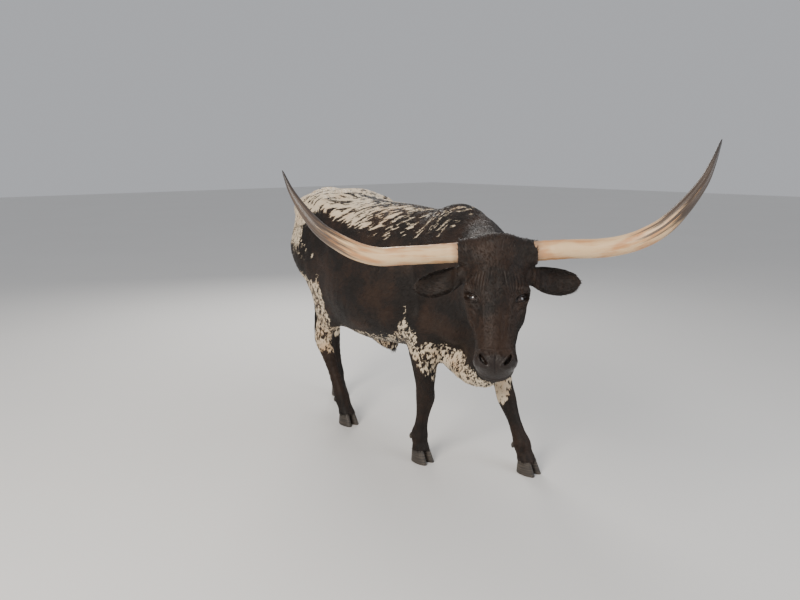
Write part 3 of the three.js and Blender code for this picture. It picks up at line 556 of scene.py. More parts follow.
def ring_quads(rings, sides):
    """Faces between rings of points that follow each other."""
    first = np.arange(rings - 1)[:, None] * sides
    n = np.arange(sides)[None]
    m = (n + 1) % sides
    return np.stack([first + n, first + m, first + sides + m, first + sides + n], -1).reshape(-1, 4)


def tube_object(name, path, radii, sides):
    """A closed tube along a path, with one radius a ring. Its two end points come last."""
    count = len(path)
    onward = unit(np.gradient(path, axis=0))
    side = unit(np.cross(onward, (0, 0, 1.0)))
    for i in range(1, count):
        if side[i] @ side[i - 1] < 0:
            side[i] *= -1
    high = np.cross(side, onward)
    turn = np.linspace(0, 2 * math.pi, sides, endpoint=False)[None, :, None]
    ring = np.cos(turn) * side[:, None] + np.sin(turn) * high[:, None]
    points = (path[:, None] + ring * radii[:, None, None]).reshape(-1, 3)
    start, last = len(points), (count - 1) * sides
    caps = [(start, (k + 1) % sides, k) for k in range(sides)]
    caps += [(start + 1, last + k, last + (k + 1) % sides) for k in range(sides)]
    mesh = bpy.data.meshes.new(name)
    at = np.vstack([points, path[[0, -1]]])
    mesh.from_pydata(to_row(at).tolist(), [], ring_quads(count, sides).tolist() + caps)
    smooth_shaded(mesh)
    return closed(linked(name, mesh))


# ---- skin
FLESH = ["torso", "neck", "head", "lower_jaw", "tail", "sheath"]
FLESH += [f"{leg}_{part}_leg" for leg in LEGS for part in ("upper", "lower")]
EARS = ["ear_left", "ear_right"]


def joined_solids(names):
    """One mesh of the named solids, each grown a little so that they run together."""
    bm = bmesh.new()
    for node in names:
        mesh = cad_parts[node].data.copy()
        with edited(mesh) as grown:
            bmesh.ops.remove_doubles(grown, verts=grown.verts, dist=1e-5)
            grown.normal_update()
            for v in grown.verts:
                v.co += v.normal * OVERLAP
        bm.from_mesh(mesh)
        bpy.data.meshes.remove(mesh)
    mesh = bpy.data.meshes.new("skin")
    bm.to_mesh(mesh)
    bm.free()
    return linked("skin", mesh)


def remeshed(obj, size):
    modifier = obj.modifiers.new("remesh", "REMESH")
    modifier.mode = "VOXEL"
    modifier.voxel_size = size
    modifier.adaptivity = 0
    graph = bpy.context.evaluated_depsgraph_get()
    mesh = bpy.data.meshes.new_from_object(obj.evaluated_get(graph))
    obj.modifiers.clear()
    obj.data = mesh


def largest_part(obj):
    """Deletes every loose part but the largest."""
    with edited(obj.data) as bm:
        seen, groups = set(), []
        for v in bm.verts:
            if v in seen:
                continue
            stack, group = [v], []
            seen.add(v)
            while stack:
                w = stack.pop()
                group.append(w)
                fresh = [o for o in (e.other_vert(w) for e in w.link_edges) if o not in seen]
                seen.update(fresh)
                stack += fresh
            groups.append(group)
        groups.sort(key=len)
        for group in groups[:-1]:
            bmesh.ops.delete(bm, geom=group, context="VERTS")


def refined(obj, near, rounds, most):
    """Subdivides the faces whose every corner passes `near`, a test on model points, and settles all."""
    chosen = near(points_of(obj))
    with edited(obj.data) as bm:
        faces = [f for f in bm.faces if all(chosen[v.index] for v in f.verts)]
        edges = list(dict.fromkeys(e for f in faces for e in f.edges))
        bmesh.ops.subdivide_edges(bm, edges=edges, cuts=1, use_grid_fill=True)
    set_points(obj, settle(points_of(obj), body, COAT_DEPTH, rounds, most))


def head_zone(p):
    x, y, z = model_to_head(p).T
    return (np.abs(x) < 200) & (y < 200) & (z < 60) & (z > -560)


def feature_zone(p):
    q = model_to_head(p)
    q[:, 0] = np.abs(q[:, 0])
    eye = np.linalg.norm(q - [100, 45, -225], axis=1) < 58
    nose = (q[:, 2] < -408) & (q[:, 1] < 135)
    return eye | nose


skin = joined_solids(FLESH)
remeshed(skin, VOXEL / 1000)
largest_part(skin)
set_points(skin, settle(points_of(skin), body, COAT_DEPTH))
refined(skin, head_zone, 2, 4)
refined(skin, feature_zone, 1, 3)
print("skin", len(skin.data.vertices), len(skin.data.polygons))
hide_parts(*FLESH, *EARS)
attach(skin, "root")


# ---- face
def eye_frame(side):
    """Eye centre and the opening's long, high and outward directions, in the head's frame."""
    centre = np.array([side * EYE_IN_HEAD[0], EYE_IN_HEAD[1], EYE_IN_HEAD[2]], float)
    out = unit([side * 0.68, -0.73, 0.06])
    long = np.array([side * 0.7, 0.66, 0.26])
    long = unit(long - out * (long @ out))
    high = np.cross(out, long)
    return centre, long, high * (1 if high[2] > 0 else -1), out


def line_distance(q, points):
    """Distance to a polyline, and how far along it from 0 to 1."""
    points = np.asarray(points, float)
    best = np.full(len(q), 1e9)
    where = np.zeros(len(q))
    for i, (a, b) in enumerate(zip(points[:-1], points[1:])):
        ab = b - a
        t = np.clip(((q - a) @ ab) / (ab @ ab), 0, 1)
        d = np.linalg.norm(q - a - t[:, None] * ab, axis=1)
        where = np.where(d < best, (i + t) / (len(points) - 1), where)
        best = np.minimum(best, d)
    return best, where


def ridge(q, points, width, height):
    """A soft ridge (or a groove, with a height below 0) along a polyline, fading at its ends."""
    d, t = line_distance(q, points)
    return height * np.exp(-((d / width) ** 2)) * smooth(0, 0.18, t) * smooth(1, 0.82, t)


def ridges(q, lines):
    return sum(ridge(q, *line) for line in lines)


def both_halves(q, way):
    """A direction given for the head's left half, mirrored on its right half."""
    ones = np.ones(len(q))
    return np.column_stack([np.sign(q[:, 0]), ones, ones]) * way


# Lines of the face: points, width and height. From ahead a point is (x, z), from beside it is (y, z).
AHEAD_LINES = [
    # Brow
    ([(124, -206), (110, -186), (88, -186), (74, -202)], 8, 4.2),
    # Tear groove from the inner corner, and the bags below the eye
    ([(80, -238), (66, -256), (58, -276)], 5, -3.2), ([(104, -252), (86, -262), (68, -280)], 5, 2.6),
    ([(106, -264), (88, -276), (74, -292)], 5, -1.8),
    # Crest of the cheek, and the lines beside the bridge of the nose
    ([(92, -268), (82, -310), (70, -360), (62, -400)], 9, 3.0),
    ([(54, -240), (46, -320), (42, -410)], 8, 2.0), ([(34, -260), (30, -330), (28, -400)], 9, -1.6),
    # Middle line of the forehead, and the swell beside it
    ([(0, -90), (0, -170), (0, -250)], 14, -2.0), ([(46, -90), (44, -150), (38, -210)], 16, 2.2),
    # Muzzle: the groove of the lip, the edge of the bare skin and the pads beside it
    ([(0, -446), (0, -480), (0, -514)], 3.4, -3.2),
    ([(0, -424), (24, -424), (50, -420), (72, -424)], 6, -2.6),
    ([(10, -484), (36, -492), (62, -486)], 6, 2.2), ([(60, -440), (74, -462), (70, -490)], 7, 2.6),
]
# Wrinkles that fan up from the inner corner of the eye and bend over the brow, each a ridge beside a groove
for k in range(6):
    foot = np.array([90 - 8.5 * k, -206 - 3 * k])
    tip = np.array([92 - 13 * k, -140 + 4 * k])
    bow = (foot + tip) / 2 + [7 - 2 * k, 4]
    AHEAD_LINES.append(([foot, bow, tip], 4.0, 2.5 - 0.15 * k))
    AHEAD_LINES.append(([foot - [4, 0], bow - [5, 0], tip - [6, 0]], 3.0, -2.1 + 0.15 * k))
BESIDE_LINES = [
    # Hollow below the crest of the cheek, and the veins of the cheek
    ([(62, -300), (58, -350), (52, -410)], 11, -3.6), ([(100, -285), (86, -340), (72, -400)], 5, 2.4),
    ([(118, -300), (104, -350), (92, -392)], 4, 1.6),
    # Edge of the chewing muscle, and the groove before it
    ([(132, -180), (166, -230), (180, -300), (150, -350)], 14, 4.0),
    ([(110, -190), (140, -240), (150, -290)], 14, -3.0),
]
NOSTRIL = np.array([45.0, 8.0, -462.0])
NOSTRIL_TILT = math.radians(34)
# Folds round the eye's opening: place, width and height, where the opening's own edge is at 1
LID_FOLDS = ((1.22, 0.16, 1.5), (1.62, 0.16, -1.7), (2.0, 0.22, 1.6), (2.45, 0.2, -1.0))


def carve_face(p, n):
    """Lids, brow, nostrils, lips and the lines of the face on skin points of the model's frame."""
    q = model_to_head(p)
    normal = n @ HEAD_TURN
    m = q.copy()
    m[:, 0] = np.abs(m[:, 0])
    front = (normal[:, 1] < -0.05) & (m[:, 1] < 110)
    side = (np.abs(normal[:, 0]) > 0.4) & (m[:, 0] > 20)
    swell = front * ridges(m[:, [0, 2]], AHEAD_LINES) + side * ridges(m[:, [1, 2]], BESIDE_LINES)
    # Line of the mouth, in the plane where the jaw meets the upper lip
    lip = (q - [0, 118, -400]) @ unit([0, 0.94, -0.34])
    reach = smooth(150, 120, q[:, 1]) * smooth(-350, -385, q[:, 2])
    for middle, width, height in ((0, 2.8, -6.0), (8, 5, 2.4), (-8, 5, 2.8)):
        swell += height * np.exp(-(((lip - middle) / width) ** 2)) * reach
    moved = q + normal * swell[:, None]

    # Nostrils: slanted commas with a raised rim
    e = m - NOSTRIL
    c, s = math.cos(NOSTRIL_TILT), math.sin(NOSTRIL_TILT)
    across, tall = c * e[:, 0] - s * e[:, 2], s * e[:, 0] + c * e[:, 2]
    across = across + 0.008 * tall**2 - 1.5
    near = (across / 8.5) ** 2 + (tall / 25.0) ** 2 + (e[:, 1] / 44.0) ** 2
    front = normal[:, 1] < 0.35
    depth = front * 19 * smooth(1.05, 0.35, near)
    rim = 3.4 * np.exp(-(((np.sqrt(near) - 1.3) / 0.26) ** 2))
    rim *= front * (0.65 + 0.35 * np.clip(tall / 18, -1, 1))
    moved += both_halves(q, (0.15, 0.98, 0.1)) * depth[:, None] + normal * rim[:, None]

    # Eyes: an almond opening between two lids that follow the ball, with folds beyond
    for side in (LEFT, RIGHT):
        centre, long, high, out = eye_frame(side)
        r = moved - centre
        a, b, o = r @ long, r @ high, r @ out
        bent = b - 0.10 * a
        near = np.sqrt((a / 19.5) ** 2 + (bent / np.where(bent > 0, 9.5, 8.0)) ** 2)
        here = (o > -2) & (near < 3.2)
        ball = np.sqrt(np.maximum(1, 23.2**2 - np.minimum(a**2 + b**2, 22.5**2)))
        shell = centre + out * ball[:, None] + a[:, None] * long + b[:, None] * high
        moved = mix(moved, shell, (smooth(2.3, 1.15, near) * here)[:, None])
        moved -= out * (9.5 * smooth(1.08, 0.86, near) * here)[:, None]
        folds = sum(grow * np.exp(-(((near - at) / width) ** 2)) for at, width, grow in LID_FOLDS)
        moved += out * (folds * np.where(bent > 0, 1.0, 0.75) * here)[:, None]
    return head_to_model(moved)


# Lines of the body: points, width and height, the same on both sides
SHOULDER_LINES = [
    ([(150, 60, 1330), (205, 20, 1190), (250, -60, 1010)], 20, 6),
    ([(190, 150, 1300), (262, 150, 1130), (270, 120, 960), (240, 110, 830)], 28, -8),
]
BODY_LINES = [
    # Muscle above the elbow
    ([(262, 30, 930), (258, 90, 850), (240, 120, 790)], 24, 6),
    # Hollow of the loin, the thigh, the fold of the flank, the hollow before it, the thigh's back
    ([(250, 870, 1300), (262, 900, 1210), (270, 900, 1120)], 52, -12),
    ([(262, 1010, 1330), (275, 1090, 1180), (262, 1150, 1010), (232, 1180, 880)], 26, -7),
    ([(262, 840, 900), (255, 900, 820), (235, 930, 760)], 20, 7),
    ([(282, 820, 1000), (280, 780, 880), (270, 720, 780)], 34, -7),
    ([(190, 1330, 1260), (215, 1340, 1120), (210, 1330, 990)], 26, -6),
]


def leg_lines(name):
    """Bones and tendons of a leg."""
    stations = LEGS[name]
    joint, fetlock = np.array(stations[4][0], float), np.array(stations[8][0], float)
    lines = [([joint + [0, -46, 30], joint + [0, -49, -26]], 22, 4 if name.startswith("fore") else 1.5)]
    for out in (-34.0, 34.0):
        edge = np.array([out, 0, 0])
        top = joint + edge * 0.9 + [0, 22, -70]
        low = fetlock + edge * 0.8 + [0, 22, 45]
        knee = [joint + edge * grow + [0, 0, up] for grow, up in ((1.25, 34), (1.3, -4), (1.2, -34))]
        lines.append(([top, (top + low) / 2, low], 8, -3.2))
        lines.append((knee, 16, 3.2))
        lines.append(([fetlock + edge * 1.2 + [0, 4, 22], fetlock + edge * 1.25 + [0, 4, -16]], 14, 3.0))
    return lines


def throat_lines():
    """Loose folds of the throat and dewlap."""
    lines = []
    for t in np.linspace(0, 1, 6):
        high = np.array([-300 + 150 * t, -520 + 180 * t, 1080 - 60 * t])
        low = np.array([-250 + 170 * t, -440 + 190 * t, 800 - 60 * t])
        bow = (high + low) / 2 + [-14, -14, 0]
        for off in np.array([(79.2, -75.9, 0), (-79.2, 75.9, 0)]):
            lines.append(([high + off, bow + off * 0.9, low + off * 0.55], 13, -3.4))
    return lines


def carve_body(p, n):
    """Muscle lines, folds and tendons of neck, trunk and legs."""
    m = p.copy()
    m[:, 0] = np.abs(m[:, 0])
    x, y, z = p.T
    swell = smooth(-150, -60, y) * ridges(m, SHOULDER_LINES) + ridges(m, BODY_LINES)
    # Ribs, faint, between shoulder and flank
    ribs = smooth(230, 330, y) * smooth(860, 760, y) * smooth(720, 800, z) * smooth(1330, 1240, z)
    swell += 0.6 * ribs * np.sin((y - 0.22 * (1300 - z)) / 60 * 2 * math.pi)
    for name in LEGS:
        swell += ridges(p, leg_lines(name))
    swell += ridges(p, throat_lines())
    return p + n * swell[:, None]


EAR_KNOTS = (0, 0.06, 0.14, 0.24, 0.36, 0.5, 0.64, 0.78, 0.9, 1)
EAR_HEIGHT = (35, 38, 44, 50, 53, 54, 51, 43, 29, 4)
EAR_CUP = (24, 24, 26, 30, 32, 30, 24, 16, 8, 2)
EAR_WALL = (1, 1, 0.85, 0.45, 0.26, 0.19, 0.19, 0.22, 0.35, 1)
EAR_ROWS = (EAR_HEIGHT, EAR_CUP, EAR_WALL)


def ear_line(side, t):
    """Middle line of the ear in the head's frame, from its root (t = 0) to its tip."""
    sag = EAR_DROOP[side][0] * t + EAR_DROOP[side][1] * t * t
    return side * (EAR_ROOT[0] - 16 + (EAR_LENGTH + 14) * t), EAR_ROOT[1] + 34 * t, EAR_ROOT[2] - sag


def ear_object(side, name):
    """Fine cupped leaf of the ear, as rings of one closed loop."""
    t = np.concatenate([np.linspace(0, 0.9, 46), np.linspace(0.92, 1, 7)])
    fine = [curve([(k, v, 0) for k, v in zip(EAR_KNOTS, row)], 180) for row in EAR_ROWS]
    height, cup, wall = (np.interp(t, row[:, 0], row[:, 1])[:, None] for row in fine)
    half = 26
    n = np.arange(2 * half)
    back = n <= half
    v = np.where(back, -1 + 2 * n / half, 1 - 2 * (n - half) / half)
    depth = cup * np.cos(v * math.pi / 2)
    # Folds of the shell on the inner face
    folds = 1.6 * np.sin(v * 9) * (smooth(0.1, 0.3, t) * smooth(0.95, 0.6, t))[:, None]
    x, y, z = ear_line(side, t[:, None])
    y = y + np.where(back, depth, depth * (1 - 2 * wall) + folds)
    z = z + height * np.sin(v * math.pi / 2)
    points = np.stack([np.broadcast_to(x, y.shape), y, z], -1).reshape(-1, 3)
    return closed(new_object(f"ear_{name}_skin", head_to_model(points), ring_quads(len(t), 2 * half)))


at = carve_body(points_of(skin), normals_of(skin))
near_head = np.linalg.norm(model_to_head(at) - HEAD_MIDDLE, axis=1) < 420
set_points(skin, at)
at[near_head] = carve_face(at[near_head], normals_of(skin)[near_head])
at[:, 2] = np.maximum(at[:, 2], 40)
set_points(skin, at)
ears = [ear_object(side, name) for side, name in SIDES]
for o in bpy.context.selected_objects:
    o.select_set(False)
for o in (*ears, skin):
    o.select_set(True)
bpy.context.view_layer.objects.active = skin
bpy.ops.object.join()
smooth_shaded(skin.data)

# ---- horns, hooves and eyes
# Middle lines of the horns from the sleeve: outward, back and up
HORN_PATHS = {
    "left": [
        *[(-14, 0, 7), (120, -14, 19), (228, -30, 26), (297, -42, 39), (369, -55, 66)],
        *[(439, -68, 112), (502, -72, 182), (565, -62, 272), (595, -48, 338), (626, -24, 421)],
    ],
    "right": [
        *[(-14, 0, -2), (108, -14, -10), (224, -30, -16), (300, -42, -19), (376, -55, -2)],
        *[(451, -68, 35), (527, -72, 87), (595, -62, 162), (644, -48, 233), (683, -24, 309)],
    ],
}
HORN_STEPS, HORN_SIDES = 150, 40
CLAW_SIDES = 40


def even(path, count):
    """Points at even lengths along a path."""
    step = np.linalg.norm(np.diff(path, axis=0), axis=1)
    length = np.concatenate([[0], np.cumsum(step)])
    goal = np.linspace(0, length[-1], count)
    return np.column_stack([np.interp(goal, length, path[:, i]) for i in range(3)])


for side, name in SIDES:
    control = [(side * (HORN_ROOT_OUT + o), y, up) for o, y, up in HORN_PATHS[name]]
    path = even(curve(control, 180), HORN_STEPS)
    t = np.linspace(0, 1, HORN_STEPS)
    radii = np.interp(t, np.linspace(0, 1, len(HORN_RADII)), HORN_RADII)
    rings = 0.55 * np.sin(t * 150) * smooth(0.30, 0.0, t) + 0.35 * np.sin(t * 61 + 1) * smooth(0.5, 0.05, t)
    radii = radii - 0.6 + rings
    radii[-3:] = (3.6, 2.4, 1.0)
    horn = tube_object(f"horn_{name}_fine", crown_to_model(path), radii, HORN_SIDES)
    lengthwise = np.repeat(t, HORN_SIDES)
    around = np.tile(np.linspace(0, 2 * math.pi, HORN_SIDES, endpoint=False), HORN_STEPS)
    attribute(horn.data, "along", np.concatenate([lengthwise, [0, 1]]))
    grain = np.column_stack([np.cos(around), np.sin(around), lengthwise])
    attribute(horn.data, "grain", np.vstack([grain, [(0, 0, 0), (0, 0, 1)]]))
    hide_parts(f"horn_{name}")
    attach(horn, "root")

    centre, long, high, out = eye_frame(side)
    bpy.ops.mesh.primitive_uv_sphere_add(segments=48, ring_count=32, radius=(EYE_RADIUS - 0.2) / 1000)
    eye = bpy.context.object
    eye.name = f"eye_{name}_ball"
    ball = numbers(eye.data.vertices, "co") * 1000
    turn = HEAD_TURN @ np.column_stack([long, high, out])
    set_points(eye, ball @ turn.T + head_to_model(centre))
    attribute(eye.data, "gaze", ball / EYE_RADIUS)
    smooth_shaded(eye.data)
    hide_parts(f"eye_{name}")
    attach(eye, "root")


def claw_object(name, foot, place):
    """One claw, flat below, with growth rings and a rounded edge."""
    cleft, wide_low, wide_high, toe_low, toe_high, heel_out = 2.5, 26, 21.5, 76, 42, 42
    levels = np.concatenate([[0, 0.02, 0.06, 0.12], np.linspace(0.2, 1, 11), [1.06]])
    turn = np.linspace(0, 2 * math.pi, CLAW_SIDES, endpoint=False)
    front = np.cos(turn)
    rounded = lambda c: np.sign(c) * np.abs(c) ** 0.85
    points = []
    for t in levels:
        edge = -1.6 * (1 - smooth(0, 0.06, t))
        wide = wide_low + (wide_high - wide_low) * t
        half = wide + edge + 0.25 * math.sin(t * 34) - 3.0 * smooth(0.98, 1.06, t)
        toe = foot[1] - (toe_low + (toe_high - toe_low) * t) - edge
        heel = foot[1] + heel_out - 2 * t + edge
        narrow = 1 - 0.22 * np.maximum(front, 0)
        x = foot[0] + place * (wide + cleft) + half * narrow * rounded(np.sin(turn))
        y = (toe + heel) / 2 + (toe - heel) / 2 * rounded(front)
        points.append(np.column_stack([x, y, np.full(CLAW_SIDES, t * HOOF_HEIGHT)]))
    return closed(new_object(name, np.concatenate(points), ring_quads(len(levels), CLAW_SIDES)))


hooves = []
for leg, stations in LEGS.items():
    side = LEFT if leg.endswith("left") else RIGHT
    foot, fetlock = stations[-1][0], stations[8][0]
    for place in (LEFT, RIGHT):
        which = "outer" if place == side else "inner"
        claw = claw_object(f"{leg}_claw_{which}_fine", foot, place)
        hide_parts(f"{leg}_claw_{which}")
        t = np.linspace(0, 1, 14)
        tip = np.array([fetlock[0] + place * 22, fetlock[1] + 42, fetlock[2] - 10.0])
        path = tip + np.column_stack([place * 1.5 * t, -4 + 9 * t, 18 - 36 * t])
        girth = 12.5 * np.sin(math.pi * (0.12 + 0.8 * t)) ** 0.6
        dew = tube_object(f"{leg}_dewclaw_{which}_fine", path, girth, 20)
        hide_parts(f"{leg}_dewclaw_{which}")
        hooves += [claw, dew]
for obj in hooves:
    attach(obj, "root")

# ---- markings, as smooth masks over the body
SADDLE_Y = (-230, -130, -10, 93, 201, 312, 425, 548, 686, 846, 939, 1083, 1157, 1260, 1340)
SADDLE_EDGE = (1440, 1360, 1304, 1274, 1249, 1267, 1274, 1281, 1293, 1327, 1352, 1324, 1257, 1248, 1190)
SADDLE_SHARE_Y = (-230, -150, 0, 200, 420, 700, 1000, 1400)
SADDLE_SHARE = (0.0, 0.16, 0.28, 0.38, 0.52, 0.64, 0.74, 0.78)

# Upper edge of the speckled patch from belly to breast, with the spike behind the right elbow
PATCH_EDGE = [
    *[(-420, 560), (-253, 600), (-240, 640), (-159, 668), (-94, 702), (-31, 710), (2, 730)],
    *[(66, 738), (118, 782), (168, 818), (181, 862), (187, 925), (194, 862), (253, 800)],
    *[(294, 755), (357, 735), (450, 708), (560, 712), (700, 692), (860, 690), (950, 640)],
]
PATCH_Y, PATCH_Z = zip(*PATCH_EDGE)
# Patch of each hind leg: its upper edge as y and z, its front edge as z and y
HIND_PATCH = {
    "right": (
        ((940, 985, 1004, 1124, 1193, 1260), (1000, 990, 938, 948, 972, 990)),
        ((420, 606, 713, 750, 850, 960), (1000, 985, 905, 915, 922, 954)),
    ),
    "left": (
        ((1000, 1080, 1160, 1260, 1340), (960, 930, 945, 960, 980)),
        ((420, 606, 713, 750, 850, 960), (1330, 1240, 1120, 1080, 1030, 1040)),
    ),
}
THICK_Y, THICK = (-400, -60, 60, 200, 330, 600, 900), (0.74, 0.74, 0.62, 0.66, 0.58, 0.54, 0.50)
LEG_PATCH, LEG_PATCH_RADII = [(140, -110, 600), (130, -150, 470), (126, -160, 400)], (70, 62, 40)


def near_path(p, points, radii):
    """1 on a path, falling to 0 beyond its radius, which changes along it."""
    d, t = line_distance(p, points)
    r = np.interp(t, np.linspace(0, 1, len(radii)), radii)
    return smooth(1.25, 0.75, d / r)


def marks_of(p):
    """Share of cream in the saddle, share of cream in the speckled patches, and bare skin, from 0 to 1."""
    x, y, z = p.T
    wide = np.abs(x)
    edge = np.interp(y, SADDLE_Y, SADDLE_EDGE)
    share = np.interp(y, SADDLE_SHARE_Y, SADDLE_SHARE)
    saddle = share * smooth(-45, 45, z - edge)
    saddle *= 1 - 0.8 * smooth(34, 12, wide) * smooth(980, 860, y)
    wide_of_back = wide > 60
    streaks = 0.66 * smooth(1110, 1200, y) * smooth(1060, 1190, z) * wide_of_back
    few = 0.30 * smooth(940, 1000, y) * smooth(1040, 1090, z) * smooth(1200, 1150, z) * wide_of_back
    saddle = np.maximum(np.maximum(saddle, streaks), few)

    upper = np.interp(np.where(x < 0, y, y + 70), PATCH_Y, PATCH_Z)
    under = smooth(34, -30, z - upper) * smooth(930, 850, y) * smooth(470, 500, z)
    heel = np.where(x < 0, 490 + 1.43 * np.maximum(y - 70, 0), 440 + 1.6 * np.maximum(y + 90, 0))
    on_leg = ((x < -112) & (y > -20) & (y < 270)) | ((x > 100) & (y < 130) & (y > -260))
    under *= np.where(on_leg & (z < 700), smooth(-26, 22, z - heel), 1)
    patches = np.interp(y, THICK_Y, THICK) * under
    for name, sign in (("right", x < 0), ("left", x >= 0)):
        top, front = HIND_PATCH[name]
        here = smooth(24, -20, z - np.interp(y, *top)) * smooth(-24, 24, y - np.interp(z, *front))
        here *= smooth(424, 452, z) * np.where(z < 640, smooth(108, 134, wide), smooth(120, 160, wide))
        patches = np.maximum(patches, 0.68 * here * sign)
    patches = np.maximum(patches, 0.85 * near_path(p, LEG_PATCH, LEG_PATCH_RADII))
    q = model_to_head(p)
    head_here = (q[:, 1] < 220) & (np.linalg.norm(q - HEAD_MIDDLE, axis=1) < 360)
    patches = np.where(head_here, 0, patches)
    saddle = np.where(head_here, 0, saddle)
    bare = head_here * smooth(-432, -452, q[:, 2] + 0.22 * np.abs(q[:, 0])) * smooth(96, 66, q[:, 1])
    for side in (LEFT, RIGHT):
        centre, long, high, out = eye_frame(side)
        r = q - centre
        near = np.sqrt((r @ long / 19.5) ** 2 + (r @ high / 9) ** 2)
        bare = np.maximum(bare, head_here * (r @ out > 0) * smooth(1.7, 1.2, near))
    return np.column_stack([saddle, patches, bare])


def fleck_space(p):
    """Coordinates along and across the slanting flecks of the saddle, in metres."""
    x, y, z = p.T
    down = np.abs(x) * 0.8 + (1500 - z) * 0.8
    slant = np.radians(48 + 14 * smooth(200, -60, y) + 24 * smooth(1060, 1330, y))
    along = (y - 1330) * np.cos(slant) + down * np.sin(slant)
    across = -(y - 1330) * np.sin(slant) + down * np.cos(slant)
    # On the buttocks the flecks hang straight down
    rear = smooth(1160, 1350, y)
    along = mix(along, 1500 - z, rear)
    across = mix(across, x * 1.1, rear)
    return np.column_stack([along, across, x]) / 1000


def mark(mesh, p):
    attribute(mesh, "place", p / 1000)
    attribute(mesh, "fleck", fleck_space(p))
    attribute(mesh, "marks", marks_of(p))


# ---- materials
class Shader:
    """A material and the nodes that make it."""

    def __init__(self, name):
        self.material = bpy.data.materials.new(name)
        self.material.use_nodes = True
        self.tree = self.material.node_tree
        self.surface = self.tree.nodes["Principled BSDF"]

    def node(self, kind, **inputs):
        n = self.tree.nodes.new(kind)
        for key, value in inputs.items():
            self.feed(n.inputs[key.replace("_", " ")], value)
        return n

    def feed(self, socket, value):
        if isinstance(value, bpy.types.NodeSocket):
            self.tree.links.new(value, socket)
        else:
            socket.default_value = value

    def paint(self, socket, colour):
        self.feed(socket, (*colour, 1.0) if isinstance(colour, tuple) else colour)

    def read(self, name, vector=True):
        n = self.tree.nodes.new("ShaderNodeAttribute")
        n.attribute_name = name
        return n.outputs["Vector" if vector else "Fac"]

    def math(self, operation, a, b=0.0, c=0.0, clamp=False):
        n = self.tree.nodes.new("ShaderNodeMath")
        n.operation = operation
        n.use_clamp = clamp
        for socket, value in zip(n.inputs, (a, b, c)):
            self.feed(socket, value)
        return n.outputs[0]

    def scaled(self, vector, scale):
        n = self.tree.nodes.new("ShaderNodeVectorMath")
        n.operation = "MULTIPLY"
        self.feed(n.inputs[0], vector)
        n.inputs[1].default_value = scale
        return n.outputs[0]

    def split(self, vector):
        n = self.node("ShaderNodeSeparateXYZ", Vector=vector)
        return n.outputs[0], n.outputs[1], n.outputs[2]

    def noise(self, vector, scale=1.0, detail=2.0, rough=0.5, warp=0.0):
        n = self.node("ShaderNodeTexNoise", Vector=vector, Scale=scale, Detail=detail)
        self.feed(n.inputs["Roughness"], rough)
        self.feed(n.inputs["Distortion"], warp)
        return n.outputs["Fac"]

    def step(self, value, low, high):
        n = self.node("ShaderNodeMapRange", Value=value, From_Min=low, From_Max=high)
        n.interpolation_type = "SMOOTHSTEP"
        return n.outputs[0]

    def blend(self, a, b, t):
        n = self.tree.nodes.new("ShaderNodeMix")
        n.data_type = "RGBA"
        self.feed(n.inputs["Factor"], t)
        self.paint(n.inputs[6], a)
        self.paint(n.inputs[7], b)
        return n.outputs[2]

    def bump(self, height, strength, distance):
        return self.node("ShaderNodeBump", Height=height, Strength=strength, Distance=distance).outputs[0]

    def radius(self, a, b):
        squares = [self.math("POWER", side, 2.0) for side in (a, b)]
        return self.math("SQRT", self.math("ADD", *squares))

    def finish(self, colour, roughness, normal=None, **fixed):
        self.paint(self.surface.inputs["Base Color"], colour)
        self.feed(self.surface.inputs["Roughness"], roughness)
        if normal is not None:
            self.feed(self.surface.inputs["Normal"], normal)
        for key, value in fixed.items():
            self.surface.inputs[key.replace("_", " ")].default_value = value
        return self.material


CREAM = (0.70, 0.585, 0.43)
CREAM_WARM = (0.62, 0.42, 0.24)
BLACK = (0.0085, 0.0056, 0.0042)
# Painted sheen: this brown stands for light glancing off the black hair, laid over the coat in patches
SHEEN_BROWN = (0.029, 0.0150, 0.0088)
BARE = (0.016, 0.0105, 0.0085)


def coat_colour(s):
    """Markings, with brown patches of painted sheen on the black, shared by the skin and the hair, the mask
    of bare skin, and the place of each point.
    """
    place = s.read("place")
    saddle, patches, bare = s.split(s.read("marks"))
    fleck = s.noise(s.scaled(s.read("fleck"), (13, 46, 8)), 1.0, 2.5, 0.55, 0.35)
    saddle_line = s.math("MULTIPLY_ADD", saddle, 0.47, 0.225)
    cream_back = s.math("MULTIPLY_ADD", s.math("SUBTRACT", saddle_line, fleck), 34.0, 0.5, clamp=True)
    speck = s.noise(s.scaled(place, (1, 1, 0.72)), 64.0, 2.0, 0.5, 0.4)
    drift = s.noise(place, 17.0, 1.0)
    speck_line = s.math("MULTIPLY_ADD", patches, 0.50, 0.17)
    speck_line = s.math("ADD", speck_line, s.math("MULTIPLY_ADD", drift, 0.26, -0.13))
    cream_low = s.math("MULTIPLY_ADD", s.math("SUBTRACT", speck_line, speck), 30.0, 0.5, clamp=True)
    cream_low = s.math("MULTIPLY", cream_low, s.step(patches, 0.05, 0.25))
    cream_back = s.math("MULTIPLY", cream_back, s.step(saddle, 0.04, 0.16))
    cream = s.math("MAXIMUM", cream_back, cream_low)
    tone = s.noise(place, 5.0, 3.0, 0.6)
    fine = s.noise(s.scaled(place, (160, 60, 60)), 1.0, 2.0)
    # Painted sheen: noise scatters brown patches of light glancing off the hair over the black coat
    dark = s.blend(BLACK, SHEEN_BROWN, s.step(s.math("MULTIPLY_ADD", fine, 0.35, tone), 0.55, 0.86))
    light = s.blend(CREAM, CREAM_WARM, s.step(s.math("MULTIPLY_ADD", fine, 0.3, tone), 0.60, 0.98))
    colour = s.blend(dark, light, cream)
    return s.blend(colour, BARE, bare), bare, place


